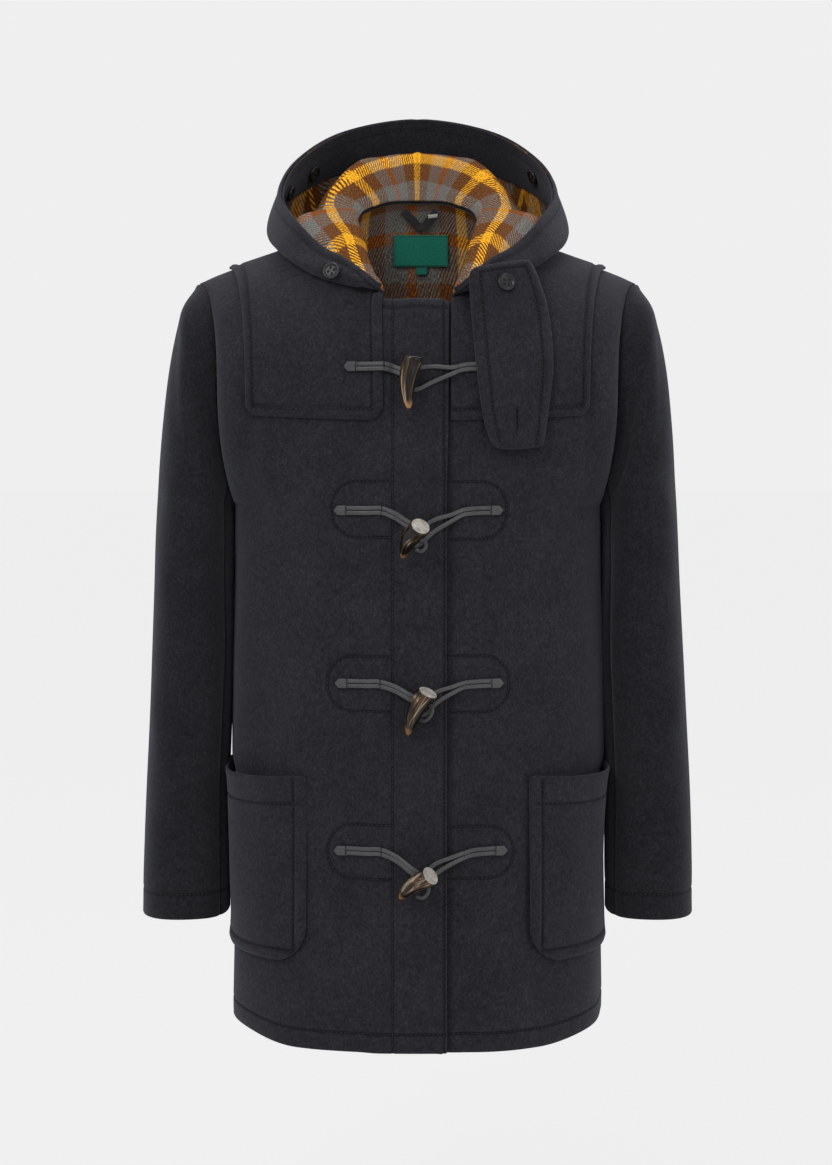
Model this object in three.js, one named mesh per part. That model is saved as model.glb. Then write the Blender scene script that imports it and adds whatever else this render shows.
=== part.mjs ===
// Wool duffle coat, filled out as when worn but hollow, with its hood down behind the neck.
// Millimetres. +Z is up, the front looks along -Y and the wearer's left side is at +X.
// The origin lies inside the neck, level with the top of the shoulders, where a wearer carries it.
import * as THREE from 'three';

const { lerp, smoothstep, degToRad } = THREE.MathUtils;
const RIGHT = -1;
const LEFT = 1;
const vec = (x, y, z) => new THREE.Vector3(x, y, z);

// Cloth and clearances
const CLOTH = 3;
const GAP = 0.45;
const ARMHOLE_GAP = 0.5;
const SEAM_GAP_S = 0.0009;
const SEAM_GAP_T = 0.0009;

// Heights of the coat
const HEM_Z = -818;
const ARMPIT_Z = -291;
const CHEST_CENTRE_Z = -194;
const SHOULDER_TIP_Z = -61;

// The body sections: half width at the sides, and how far front and back lie from the middle
const BODY_SECTIONS = [
  { z: -818, halfWidth: 194, front: 152, back: 150 },
  { z: -700, halfWidth: 192, front: 151, back: 148 },
  { z: -500, halfWidth: 190, front: 150, back: 144 },
  { z: -400, halfWidth: 189, front: 149, back: 141 },
  { z: -291, halfWidth: 190, front: 146, back: 137 },
  { z: -194, halfWidth: 200, front: 136, back: 126 },
];
const BODY_SQUARENESS = 0.083;

// The armhole is an upright oval; its middle is the widest place, on the chest row
const ARMHOLE = {
  bottomX: 190, chestX: 203, topX: 228, frontDepth: 72, backDepth: 82,
};
const ARMHOLE_MID_Z = (ARMPIT_Z + SHOULDER_TIP_Z) / 2;
const ARMHOLE_HALF_HEIGHT = (SHOULDER_TIP_Z - ARMPIT_Z) / 2;
const SHOULDER_ROUNDING = 1.2;
// Share by which the middle of the front rises straight to the neck, where the sides roll over
const FRONT_UPRIGHT = 0.4;

// The top edge of the panels: neck seam up to s 0.3, then the shoulder seam out to the armhole
const NECK_S = 0.3;
const FRONT_EDGE_S = 0.11;
const SHOULDER_SEAM = [
  { s: 0.3, x: 67, y: 6, z: -1 },
  { s: 0.365, x: 96, y: 5.2, z: -12 },
  { s: 0.46, x: 146, y: 3.4, z: -30 },
  { s: 0.56, x: 195, y: 1.5, z: -47 },
  { s: 1, x: 228, y: 0, z: -61 },
];
const FRONT_NECK = [
  { s: 0, x: 0, y: -110, z: -86 },
  { s: 0.11, x: 36, y: -108.5, z: -86 },
  { s: 0.16, x: 47, y: -93, z: -76 },
  { s: 0.21, x: 57, y: -70, z: -56 },
  { s: 0.255, x: 64, y: -36, z: -30 },
  { s: 0.3, x: 67, y: 6, z: -1 },
];
const BACK_NECK = [
  { s: 0, x: 0, y: 75, z: 32 },
  { s: 0.1, x: 30, y: 73.5, z: 31 },
  { s: 0.2, x: 55, y: 60, z: 22 },
  { s: 0.26, x: 64, y: 36, z: 12 },
  { s: 0.3, x: 67, y: 6, z: -1 },
];

// Where each panel is cut: s runs from the centre line (0) to the side seam (1)
const SHARED_STOPS = [0.3, 0.365, 0.46, 0.56, 0.67, 0.78, 0.89, 1];
const FRONT_NECK_STOPS = [0.055, 0.11, 0.16, 0.21, 0.255];
const BACK_NECK_STOPS = [0, 0.1, 0.2, 0.26];
const OVERLAP_S = 0.0905;
const UNDERLAP_S = 0.11;
const YOKE_SIDE_S = 0.56;
const POCKET_FRONT_S = 0.365;

// Heights of the rows below the armpit; the pocket lies between two of them
const POCKET_TOP_Z = -557;
const POCKET_BOTTOM_Z = -742;
const LOWER_ROWS = [HEM_Z, -780, POCKET_BOTTOM_Z, -705, -668, -631, -594, POCKET_TOP_Z,
  -504, -451, -398, -345, ARMPIT_Z];
// Angles round the armhole, from the underarm over the front or the back to the shoulder tip
const ARMHOLE_TURNS = [0, 18, 36, 54, 72, 81, 90, 108, 126, 144, 162, 180];
const YOKE_BOTTOM_TURN = 81;
const T_ARMPIT = 0.7;
const T_CHEST = 0.85;

// The right front laps over the left one and is lifted by a cloth's thickness to do so
const LAP_LIFT = CLOTH + GAP;
const LAP_EDGE_X = 29.5;
const LAP_LIFT_FULL_X = 38;
const LAP_LIFT_END_X = 62;

// The sleeve's rings, from just outside the armhole to the cuff
const SLEEVE_RINGS = [
  { outerX: 241, outerZ: -80, innerX: 191.5, innerZ: -292.5, middleY: -1, halfDepth: 80 },
  { outerX: 250, outerZ: -108, innerX: 192, innerZ: -295, middleY: -2, halfDepth: 85 },
  { outerX: 257.5, outerZ: -150, innerX: 192.5, innerZ: -300, middleY: -3, halfDepth: 88 },
  { outerX: 263.5, outerZ: -205, innerX: 193, innerZ: -312, middleY: -4, halfDepth: 88 },
  { outerX: 268, outerZ: -262, innerX: 193.5, innerZ: -335, middleY: -5, halfDepth: 86 },
  { outerX: 271.5, outerZ: -320, innerX: 194, innerZ: -365, middleY: -6, halfDepth: 83 },
  { outerX: 274, outerZ: -375, innerX: 195, innerZ: -400, middleY: -7, halfDepth: 79 },
  { outerX: 277, outerZ: -440, innerX: 197, innerZ: -450, middleY: -9, halfDepth: 75 },
  { outerX: 280, outerZ: -510, innerX: 200, innerZ: -513, middleY: -11, halfDepth: 70 },
  { outerX: 283.5, outerZ: -585, innerX: 203, innerZ: -586, middleY: -13, halfDepth: 65 },
  { outerX: 285.5, outerZ: -650, innerX: 203, innerZ: -650, middleY: -15, halfDepth: 61 },
  { outerX: 287, outerZ: -714, innerX: 203, innerZ: -714, middleY: -16, halfDepth: 57.5 },
];
const SLEEVE_SQUARENESS = 0.06;
const SLEEVE_FRONT_SEAM = 36;
const SLEEVE_BACK_SEAM = 324;
const SLEEVE_SEAM_GAP = 0.0035;

// The hood's stations, from its front end round to the centre back: each is a cut through the
// cloth from the neck seam over the crest of the stand, down into the pouch and up to the rim
const HOOD_STATIONS = [
  { half: 'front', s: 0.11, rim: [38, -115.2, -74.2] },
  { half: 'front', s: 0.16, crest: [51, -105, -74], hang: [53, -109, -74.5],
    bottom: [56, -112.5, -73], belly: [57.5, -113.5, -67], rim: [55, -107, -58] },
  { half: 'front', s: 0.21, crest: [63, -84, -50], hang: [66, -94, -60],
    bottom: [70, -105, -71], belly: [77, -110, -60], rim: [73, -97, -43] },
  { half: 'front', s: 0.255, crest: [72, -46, -16], hang: [88, -69, -27],
    bottom: [102, -92, -59], belly: [113, -93, -50], rim: [98, -80, -28] },
  { half: 'front', s: 0.3, crest: [98, -16, 5], hang: [118, -40, -12],
    bottom: [130, -60, -39], belly: [142, -57, -31], rim: [125, -50, 0] },
  { half: 'back', s: 0.26, crest: [122, 10, 5], hang: [134, 14, -10],
    bottom: [147, 17, -21], belly: [159, 18, -4], rim: [146, 15, 33] },
  { half: 'back', s: 0.2, crest: [86, 60, 46], hang: [112, 86, 10],
    bottom: [130, 101, -58], belly: [153, 104, 0], rim: [134, 85, 76] },
  { half: 'back', s: 0.1, crest: [60, 84, 76], hang: [74, 128, 5],
    bottom: [78, 152, -100], belly: [104, 188, -5], rim: [84, 148, 117] },
  { half: 'back', s: 0, crest: [0, 94, 84], hang: [0, 138, 0],
    bottom: [0, 165, -112], belly: [0, 220, -5], rim: [0, 182, 136] },
];
const HOOD_STAND = 10;
const HOOD_SEAM_GAP = 1.3;
// Columns of the hood's front end, which give to the lapped right front
const HOOD_LIFT_COLUMNS = 6;
const HOOD_CENTRE_GAP = 0.2;
const HOOD_ROWS = 12;
const HOOD_ROW_GROWTH = 1.4;
const FACING_WIDTH = 48;
const FACING_SHARE = 0.45;
const FACING_ROWS = 2;
const FACING_FIRST_COLUMN = 9;
const FACING_CLOTH = 2;

// The patch pockets stand off the front, most at the open mouth
const POCKET_MOUTH_STAND = 13;
const POCKET_BASE_STAND = 3;

// The throat tab's outline from its top edge down, on its back face
const THROAT_TAB_ROWS = [
  { inner: [54, -117.5, -55], outer: [112, -96, -44] },
  { inner: [53.5, -119.5, -72], outer: [121, -99, -64] },
  { inner: [56, -125, -110], outer: [130, -111, -100] },
  { inner: [60, -139.5, -155], outer: [133, -128.5, -149] },
  { inner: [66, -143, -200], outer: [129, -134, -187] },
  { inner: [73, -144, -224], outer: [124, -137, -224] },
  { inner: [79, -144.5, -231], outer: [120, -137.5, -230] },
];
const THROAT_TAB_CLOTH = 5;
const THROAT_TAB_CROWN = 3.5;

// The four fastenings: ends of each toggle, and the routes of the leather strands
const STRAND = { width: 4.2, thickness: 2.2 };
const FASTENINGS = [
  { wide: [-4.4, -143], tip: [-8.9, -193], wideLift: 17.5, tipLift: 13.5, seat: 0.9, tabZ: -151.5,
    rightTip: -69.5, bendX: -33, leftTip: 72, joinX: 36, joinZ: -154.5, spread: 10.5 },
  { wide: [2.9, -306], tip: [-14.6, -338], wideLift: 46, tipLift: 12, seat: 1.8, tabZ: -293,
    rightTip: -79.2, bendX: -35.6, leftTip: 81, joinX: 38, joinZ: -296.5, spread: 7.5 },
  { wide: [10.2, -468], tip: [-10, -511.5], wideLift: 25, tipLift: 8, seat: 0.9, tabZ: -463,
    rightTip: -78.2, bendX: -37, leftTip: 81.5, joinX: 39, joinZ: -466, spread: 7 },
  { wide: [12.6, -645], tip: [-17.5, -672], wideLift: 33, tipLift: 9, seat: 0.9, tabZ: -628.5,
    rightTip: -79.6, bendX: -36, leftTip: 85.5, joinX: 43, joinZ: -633.5, spread: 6.5 },
];
const TOGGLE_RINGS = [
  { along: 0, radius: 8.2 },
  { along: 0.04, radius: 9.2 },
  { along: 0.25, radius: 8.8 },
  { along: 0.5, radius: 7.4 },
  { along: 0.75, radius: 5.4 },
  { along: 0.93, radius: 3.4 },
  { along: 1, radius: 1.6 },
];
const TOGGLE_BEND = 3;
const TOGGLE_WAIST = { along: 0.35, radius: 8.4 };
const TOGGLE_SIDES = 12;

// Buttons, labels and the hanger loop
const BUTTON_SEAT = 1;
const HOOD_TAB = { halfWidth: 13, halfHeight: 10, thickness: 2 };
const BUTTON = { radius: 9, thickness: 3, holeRadius: 1.1, holeOffset: 2.3 };
const NECK_LABEL = { centreX: 4, topZ: 0, bottomZ: -34, halfWidth: 30.5, thickness: 0.8 };
const SIZE_TAB = { centreX: 4.5, topZ: -34.6, bottomZ: -43, halfWidth: 6, thickness: 0.8 };
const LABEL_GAP = 2.4;
const LOOP_GAP = 3.5;
const HANGER_LOOP = { leftX: -16, rightX: 22, apexX: 4, topZ: 27, apexZ: 9 };

const COLOURS = {
  melton: { color: 0x24252e, roughness: 0.95 },
  meltonEdge: { color: 0x2a2b34, roughness: 0.95 },
  check: { color: 0x7a4a25, roughness: 0.95 },
  leather: { color: 0x3a3a3d, roughness: 0.45 },
  horn: { color: 0x2c211a, roughness: 0.3 },
  button: { color: 0x101114, roughness: 0.35 },
  label: { color: 0x0f5a45, roughness: 0.8 },
};

// Value of one column of a table at a place between its rows, on a smooth curve
function tableAt(rows, by, column, at) {
  const last = rows.length - 1;
  let i = 0;
  while (i < last - 1 && at > rows[i + 1][by]) i += 1;
  const slope = (a, b) => (rows[b][column] - rows[a][column]) / (rows[b][by] - rows[a][by]);
  const span = rows[i + 1][by] - rows[i][by];
  const u = (at - rows[i][by]) / span;
  const startSlope = slope(Math.max(i - 1, 0), i + 1) * span;
  const endSlope = slope(i, Math.min(i + 2, last)) * span;
  const start = rows[i][column];
  const end = rows[i + 1][column];
  return start * (2 * u ** 3 - 3 * u ** 2 + 1) + startSlope * (u ** 3 - 2 * u ** 2 + u)
    + end * (3 * u ** 2 - 2 * u ** 3) + endSlope * (u ** 3 - u ** 2);
}

// Edge of the armhole on the front or the back; the turn runs from the underarm to the shoulder
function armholePoint(half, turn) {
  const reach = Math.sin(turn);
  const upper = turn > Math.PI / 2;
  const depth = half === 'front' ? -ARMHOLE.frontDepth : ARMHOLE.backDepth;
  const x = upper
    ? lerp(ARMHOLE.chestX, ARMHOLE.topX, 1 - reach)
    : lerp(ARMHOLE.bottomX, ARMHOLE.chestX, reach ** 2);
  const y = depth * (upper ? Math.abs(reach) ** SHOULDER_ROUNDING : reach);
  return vec(x, y, ARMHOLE_MID_Z - ARMHOLE_HALF_HEIGHT * Math.cos(turn));
}

// Top edge of a panel: the neck seam, then the shoulder seam
function topEdge(half, s) {
  const across = Math.abs(s);
  const neck = half === 'front' ? FRONT_NECK : BACK_NECK;
  const rows = across < NECK_S ? neck : SHOULDER_SEAM;
  const [x, y, z] = ['x', 'y', 'z'].map((column) => tableAt(rows, 's', column, across));
  return vec(Math.sign(s) * x, y, z);
}

// Outer face of the body on the wearer's left: s from centre to side seam, t from hem to top edge
function bodyPoint(half, s, t) {
  const phi = s * Math.PI / 2;
  const round = 1 + BODY_SQUARENESS * Math.sin(2 * phi) ** 2;
  const across = Math.sin(phi) * round;
  const ahead = Math.cos(phi) * round;
  const depthAt = (z) => tableAt(BODY_SECTIONS, 'z', half, z) * (half === 'front' ? -1 : 1);
  if (t <= T_ARMPIT) {
    const z = lerp(HEM_Z, ARMPIT_Z, t / T_ARMPIT);
    return vec(tableAt(BODY_SECTIONS, 'z', 'halfWidth', z) * across, depthAt(z) * ahead, z);
  }
  if (t <= T_CHEST) {
    const rise = (t - T_ARMPIT) / (T_CHEST - T_ARMPIT);
    const edge = armholePoint(half, rise * Math.PI / 2);
    const centreZ = lerp(ARMPIT_Z, CHEST_CENTRE_Z, rise);
    const y = edge.y + (depthAt(centreZ) - edge.y) * ahead;
    return vec(edge.x * across, y, lerp(centreZ, edge.z, Math.sin(phi) ** 2));
  }
  const climb = (t - T_CHEST) / (1 - T_CHEST) * Math.PI / 2;
  const base = bodyPoint(half, s, T_CHEST);
  const top = topEdge(half, s);
  const straight = half === 'front' ? 1 - smoothstep(Math.abs(base.x), 40, 80) : 0;
  const rolled = 1 - Math.max(Math.cos(climb), 0) ** SHOULDER_ROUNDING;
  return vec(
    lerp(base.x, top.x, 1 - Math.cos(climb)),
    lerp(base.y, top.y, lerp(rolled, Math.sin(climb), straight * FRONT_UPRIGHT)),
    lerp(base.z, top.z, Math.sin(climb)),
  );
}

// Outward direction of a surface given by a function of two values, from small steps on it
function surfaceNormal(surface, u, v, outwards, step = 0.004) {
  const alongU = surface(u + step, v).sub(surface(u - step, v));
  const alongV = surface(u, v + step).sub(surface(u, v - step));
  const normal = alongU.cross(alongV).normalize();
  return normal.dot(outwards) < 0 ? normal.negate() : normal;
}

function panelNormal(half, s, t) {
  const point = bodyPoint(half, s, t);
  const away = point.clone().sub(vec(0, 0, Math.min(point.z, -150)));
  const normal = surfaceNormal((a, b) => bodyPoint(half, a, Math.min(b, 1)), s, t, away);
  return s === 0 ? vec(0, normal.y, normal.z).normalize() : normal;
}

// Front and back share one outward direction along the shoulder seam
function bodyNormal(half, s, t) {
  if (t < 1 - 2 * SEAM_GAP_T || Math.abs(s) < NECK_S) return panelNormal(half, s, Math.min(t, 0.996));
  return panelNormal('front', s, 0.996).add(panelNormal('back', s, 0.996)).normalize();
}

// Value of t for a height below the armpit, and for a turn round the armhole
const lowerT = (z) => T_ARMPIT * (z - HEM_Z) / (ARMPIT_Z - HEM_Z);
const turnT = (degrees) => (degrees <= 90
  ? lerp(T_ARMPIT, T_CHEST, degrees / 90)
  : lerp(T_CHEST, 1, (degrees - 90) / 90));
const BODY_ROWS = [...LOWER_ROWS.map(lowerT), ...ARMHOLE_TURNS.slice(1).map(turnT)];

// Point at a share of the way along points, on a smooth curve through them
function curveThrough(points) {
  return new THREE.CatmullRomCurve3(points, false, 'centripetal');
}

// The sleeve: the turn runs round it from the underarm over the front, v from armhole to cuff
function sleevePoint(turn, v) {
  const wrapped = ((turn % (2 * Math.PI)) + 2 * Math.PI) % (2 * Math.PI);
  const onFront = wrapped <= Math.PI;
  const start = armholePoint(onFront ? 'front' : 'back', onFront ? wrapped : 2 * Math.PI - wrapped);
  start.x += ARMHOLE_GAP;
  const round = 1 + SLEEVE_SQUARENESS * Math.sin(2 * wrapped) ** 2;
  const rings = SLEEVE_RINGS.map((ring) => {
    const inOut = (1 - Math.cos(wrapped) * round) / 2;
    return vec(lerp(ring.innerX, ring.outerX, inOut),
      ring.middleY - ring.halfDepth * Math.sin(wrapped) * round,
      lerp(ring.innerZ, ring.outerZ, inOut));
  });
  return pointOnRow([start, ...rings], v);
}

// Point on a smooth curve through a row of points, where whole steps of the share hit the points
function pointOnRow(points, share) {
  const at = share * (points.length - 1);
  const i = Math.min(Math.max(Math.floor(at), 0), points.length - 2);
  const u = at - i;
  const start = points[i];
  const end = points[i + 1];
  const before = i > 0 ? points[i - 1] : start.clone().multiplyScalar(2).sub(end);
  const after = i + 2 < points.length ? points[i + 2] : end.clone().multiplyScalar(2).sub(start);
  const blend = (a, b, c, d) => 0.5 * (2 * b + (c - a) * u + (2 * a - 5 * b + 4 * c - d) * u ** 2
    + (3 * b - a - 3 * c + d) * u ** 3);
  return vec(blend(before.x, start.x, end.x, after.x), blend(before.y, start.y, end.y, after.y),
    blend(before.z, start.z, end.z, after.z));
}

function sleeveNormal(turn, v) {
  const axis = sleevePoint(turn, v).add(sleevePoint(turn + Math.PI, v)).multiplyScalar(0.5);
  const away = sleevePoint(turn, v).sub(axis);
  return surfaceNormal(sleevePoint, turn, v, away, 0.01);
}

// Where body and sleeve meet, both walls lean the same way, so their edges stay parallel
function armholeNormal(half, turn, own, other) {
  const shared = own.clone().add(other).normalize();
  return own.clone().lerp(shared, smoothstep(own.dot(other), -0.2, 0.5)).normalize();
}
const sleeveTurn = (half, turn) => (half === 'front' ? turn : 2 * Math.PI - turn);

function bodyWallNormal(half, s, t) {
  const own = bodyNormal(half, Math.min(s, 0.9985), t);
  if (s < 0.99 || t <= T_ARMPIT + 1e-6) return own;
  const atShoulderSeam = t > 1 - 2 * SEAM_GAP_T;
  const upper = atShoulderSeam ? 1 : (t - T_CHEST) / (1 - T_CHEST);
  const turn = t <= T_CHEST
    ? (t - T_ARMPIT) / (T_CHEST - T_ARMPIT) * Math.PI / 2
    : Math.PI / 2 + upper * Math.PI / 2;
  return armholeNormal(half, turn, own, sleeveNormal(sleeveTurn(half, turn), 0.002));
}

function sleeveWallNormal(turn, v) {
  const own = sleeveNormal(turn, Math.max(v, 0.002));
  if (v > 0) return own;
  const half = turn <= Math.PI ? 'front' : 'back';
  const around = sleeveTurn(half, turn);
  const t = turnT(around * 180 / Math.PI);
  return armholeNormal(half, around, own, bodyNormal(half, 0.9985, t));
}

// A grid of cloth points: each has its place on the outer face and the outward direction
function clothGrid(columns, rows, pointAt, normalAt) {
  return columns.map((u) => rows.map((v) => ({ point: pointAt(u, v), normal: normalAt(u, v) })));
}

// Closed wall of cloth made from grids that share edges: an outer face, an inner face, the edges
function clothSolid(grids, thickness = CLOTH) {
  const corners = [];
  const found = new Map();
  const cornerOf = ({ point, normal }) => {
    const key = point.toArray().map((value) => Math.round(value * 50)).join();
    if (!found.has(key)) {
      found.set(key, corners.length);
      corners.push({ point, normal: vec(0, 0, 0) });
    }
    corners[found.get(key)].normal.add(normal);
    return found.get(key);
  };
  const faces = [];
  for (const grid of grids) {
    const index = grid.map((column) => column.map(cornerOf));
    const middle = grid[grid.length >> 1];
    const at = middle.length >> 1;
    const aside = grid[(grid.length >> 1) - 1][at].point.clone().sub(middle[at].point).negate();
    const along = middle[at].point.clone().sub(middle[at - 1].point);
    const outward = aside.cross(along).dot(middle[at].normal) > 0;
    for (let i = 0; i + 1 < index.length; i += 1) {
      for (let j = 0; j + 1 < index[i].length; j += 1) {
        const quad = [index[i][j], index[i + 1][j], index[i + 1][j + 1], index[i][j + 1]];
        if (!outward) quad.reverse();
        faces.push([quad[0], quad[1], quad[2]], [quad[0], quad[2], quad[3]]);
      }
    }
  }
  return thickened(corners, faces, thickness);
}

function thickened(corners, faces, thickness) {
  const count = corners.length;
  const outer = corners.map(({ point }) => point);
  const inner = corners.map(({ point, normal }) => point.clone()
    .addScaledVector(normal.clone().normalize(), -thickness));
  const edges = new Set(faces.flatMap(([a, b, c]) => [`${a},${b}`, `${b},${c}`, `${c},${a}`]));
  const triangles = faces.flatMap(([a, b, c]) => [[a, b, c], [c + count, b + count, a + count]]);
  for (const edge of edges) {
    const [a, b] = edge.split(',').map(Number);
    if (!edges.has(`${b},${a}`)) triangles.push([b, a, a + count], [b, a + count, b + count]);
  }
  return solidGeometry([...outer, ...inner], triangles);
}

function solidGeometry(points, triangles) {
  const geometry = new THREE.BufferGeometry();
  geometry.setAttribute('position', new THREE.Float32BufferAttribute(
    points.flatMap((point) => point.toArray()), 3));
  geometry.setIndex(triangles.flat());
  return geometry;
}

// The same points on the wearer's right or left side
const mirrored = (side, point) => vec(point.x * side, point.y, point.z);
function sided(side, grid) {
  return grid.map((column) => column.map(({ point, normal }) => (
    { point: mirrored(side, point), normal: mirrored(side, normal) })));
}

// How far a front's outer face is lifted: only the right front, where it laps over the left one
function lapLift(side, point) {
  if (side === LEFT) return 0;
  if (point.x < 0) return LAP_LIFT;
  return LAP_LIFT * (1 - smoothstep(point.x, LAP_LIFT_FULL_X, LAP_LIFT_END_X));
}

// A grid on the body's points, moved out by a distance that may change from place to place
function bodyGrid(side, half, columns, rows, outBy = () => 0) {
  const pointAt = (s, t) => {
    const point = bodyPoint(half, s, t);
    const lift = half === 'front' ? lapLift(side, point) : 0;
    return point.addScaledVector(bodyNormal(half, Math.min(s, 0.9985), t), lift + outBy(s, t));
  };
  return sided(side, clothGrid(columns, rows, pointAt, (s, t) => bodyWallNormal(half, s, t)));
}

const seamColumns = (columns) => columns.map((s) => Math.min(s, 1 - SEAM_GAP_S));
const seamRows = (rows) => rows.map((t) => Math.min(t, 1 - SEAM_GAP_T));

function frontPanel(side) {
  const lap = side === RIGHT ? OVERLAP_S : UNDERLAP_S;
  const columns = [-lap, -lap / 2, 0, ...FRONT_NECK_STOPS, ...SHARED_STOPS];
  return clothSolid([bodyGrid(side, 'front', seamColumns(columns), seamRows(BODY_ROWS))]);
}

function backPanel() {
  const columns = seamColumns([...BACK_NECK_STOPS, ...SHARED_STOPS]);
  const rows = seamRows(BODY_ROWS);
  return clothSolid([LEFT, RIGHT].map((side) => bodyGrid(side, 'back', columns, rows)));
}

// The yoke is one cape over both shoulders, on the points of the panels below it
function yoke() {
  const rows = BODY_ROWS.filter((t) => t >= turnT(YOKE_BOTTOM_TURN) - 1e-6);
  const shoulder = SHARED_STOPS.filter((s) => s <= YOKE_SIDE_S);
  const frontColumns = [...FRONT_NECK_STOPS.filter((s) => s >= FRONT_EDGE_S), ...shoulder];
  const backColumns = [...BACK_NECK_STOPS, ...shoulder];
  const outBy = () => GAP + CLOTH;
  return clothSolid([LEFT, RIGHT].flatMap((side) => [
    bodyGrid(side, 'front', frontColumns, rows, outBy),
    bodyGrid(side, 'back', backColumns, rows, outBy),
  ]));
}

// A patch pocket from the front round to the side seam, with its lower front corner cut off
function pocket(side) {
  const columns = seamColumns(SHARED_STOPS.filter((s) => s >= POCKET_FRONT_S));
  const rows = LOWER_ROWS.filter((z) => z >= POCKET_BOTTOM_Z && z <= POCKET_TOP_Z).map(lowerT);
  const outBy = (s, t) => {
    const across = (s - POCKET_FRONT_S) / (1 - POCKET_FRONT_S);
    const up = (t - rows[0]) / (rows[rows.length - 1] - rows[0]);
    const edge = Math.min(1, across * 4) * Math.min(1, (1 - across) * 4);
    const stand = lerp(POCKET_BASE_STAND, POCKET_MOUTH_STAND, up ** 2) * Math.min(1, up * 3);
    return GAP + CLOTH + stand * edge;
  };
  return clothSolid([bodyGrid(side, 'front', columns, rows, outBy)]);
}

function sleevePiece(side, fromTurn, toTurn) {
  const turns = [...ARMHOLE_TURNS, ...ARMHOLE_TURNS.slice(0, -1).reverse().map((a) => 360 - a)];
  const inRange = (a) => a >= fromTurn && a <= toTurn;
  const degrees = [...turns.map((a) => a - 360), ...turns].filter(inRange);
  const unique = [...new Set(degrees)].sort((a, b) => a - b);
  const columns = unique.map((a) => degToRad(a));
  columns[0] += SLEEVE_SEAM_GAP;
  columns[columns.length - 1] -= SLEEVE_SEAM_GAP;
  const rows = [0, ...SLEEVE_RINGS.map((ring, i) => (i + 1) / SLEEVE_RINGS.length)];
  const wrap = (turn) => (turn < 0 ? turn + 2 * Math.PI : turn);
  const grid = clothGrid(columns, rows, sleevePoint, (turn, v) => sleeveWallNormal(wrap(turn), v));
  return clothSolid([sided(side, grid)]);
}

// One cut through the hood as a smooth curve, from the neck seam to the rim
function hoodProfile(station) {
  const t = 1 - SEAM_GAP_T;
  const seam = topEdge(station.half, station.s);
  const normal = bodyNormal(station.half, station.s, t);
  const stepS = 0.01;
  const nextS = station.half === 'front' ? station.s - stepS : station.s + stepS;
  const along = topEdge(station.half, nextS).sub(topEdge(station.half, station.s)).normalize();
  const inward = along.cross(normal).normalize();
  const towardsNeck = vec(-seam.x, -seam.y, 60);
  if (inward.dot(towardsNeck) < 0) inward.negate();
  const start = seam.clone().addScaledVector(inward, HOOD_SEAM_GAP);
  const rim = vec(...station.rim);
  if (!station.crest) {
    return curveThrough([start, start.clone().lerp(rim, 0.5), rim]);
  }
  const stand = start.clone().addScaledVector(normal, HOOD_STAND);
  const middle = ['crest', 'hang', 'bottom', 'belly'].map((name) => vec(...station[name]));
  return curveThrough([start, stand, ...middle, rim]);
}

// The rows of hood points for each station: first from the seam, then the band under the rim
function hoodGridPoints() {
  const stations = HOOD_STATIONS.map((station) => {
    const curve = hoodProfile(station);
    const length = curve.getLength();
    const facing = Math.min(FACING_WIDTH, FACING_SHARE * length);
    const shares = [];
    for (let i = 0; i <= HOOD_ROWS; i += 1) {
      shares.push((length - facing) / length * (i / HOOD_ROWS) ** HOOD_ROW_GROWTH);
    }
    for (let i = 1; i <= FACING_ROWS; i += 1) {
      shares.push((length - facing + facing * i / FACING_ROWS) / length);
    }
    return shares.map((share) => curve.getPointAt(Math.min(share, 1)));
  });
  const columns = [];
  const last = stations.length - 1;
  for (let i = 0; i <= 2 * last; i += 1) {
    const share = i / (2 * last);
    columns.push(stations[0].map((start, row) => {
      const line = stations.map((station) => station[row]);
      if (row > 0 || i % 2 === 0) return pointOnRow(line, share);
      return line[(i - 1) / 2].clone().lerp(line[(i + 1) / 2], 0.5);
    }));
  }
  columns[columns.length - 1].forEach((point) => { point.x = HOOD_CENTRE_GAP; });
  return columns;
}

const HOOD_POINTS = hoodGridPoints();

// Navy side of the hood at a grid point, from the points beside it
function hoodNormal(column, row) {
  const columns = HOOD_POINTS.length - 1;
  const rows = HOOD_POINTS[0].length - 1;
  if (column === columns) {
    const own = hoodNormal(column - 1, row);
    return vec(0, own.y, own.z).normalize();
  }
  const aside = HOOD_POINTS[Math.min(column + 1, columns)][row].clone()
    .sub(HOOD_POINTS[Math.max(column - 1, 0)][row]);
  const along = HOOD_POINTS[column][Math.min(row + 1, rows)].clone()
    .sub(HOOD_POINTS[column][Math.max(row - 1, 0)]);
  return aside.cross(along).normalize();
}

function hoodGrid(side, firstColumn = 0, firstRow = 0, outBy = 0) {
  const placeAt = (column, row) => {
    const point = HOOD_POINTS[column][row];
    const normal = hoodNormal(column, row);
    const moved = point.clone().addScaledVector(normal, outBy);
    if (column < HOOD_LIFT_COLUMNS) {
      const seamS = lerp(HOOD_STATIONS[column >> 1].s, HOOD_STATIONS[(column + 1) >> 1].s, 0.5);
      const lift = lapLift(side, HOOD_POINTS[column][0]);
      moved.addScaledVector(bodyNormal('front', seamS, 1 - SEAM_GAP_T), lift);
    }
    return { point: moved, normal };
  };
  const grid = HOOD_POINTS.slice(firstColumn).map((points, column) => (
    points.slice(firstRow).map((unused, row) => placeAt(firstColumn + column, firstRow + row))));
  return sided(side, grid);
}

const hoodHalf = (side) => clothSolid([hoodGrid(side)]);

// The facing is a band on the inner face of the hood, along its rim from the side of the neck on
function hoodFacing(side) {
  const grid = hoodGrid(side, FACING_FIRST_COLUMN, HOOD_ROWS, -(CLOTH + GAP));
  return clothSolid([grid], FACING_CLOTH);
}

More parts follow.
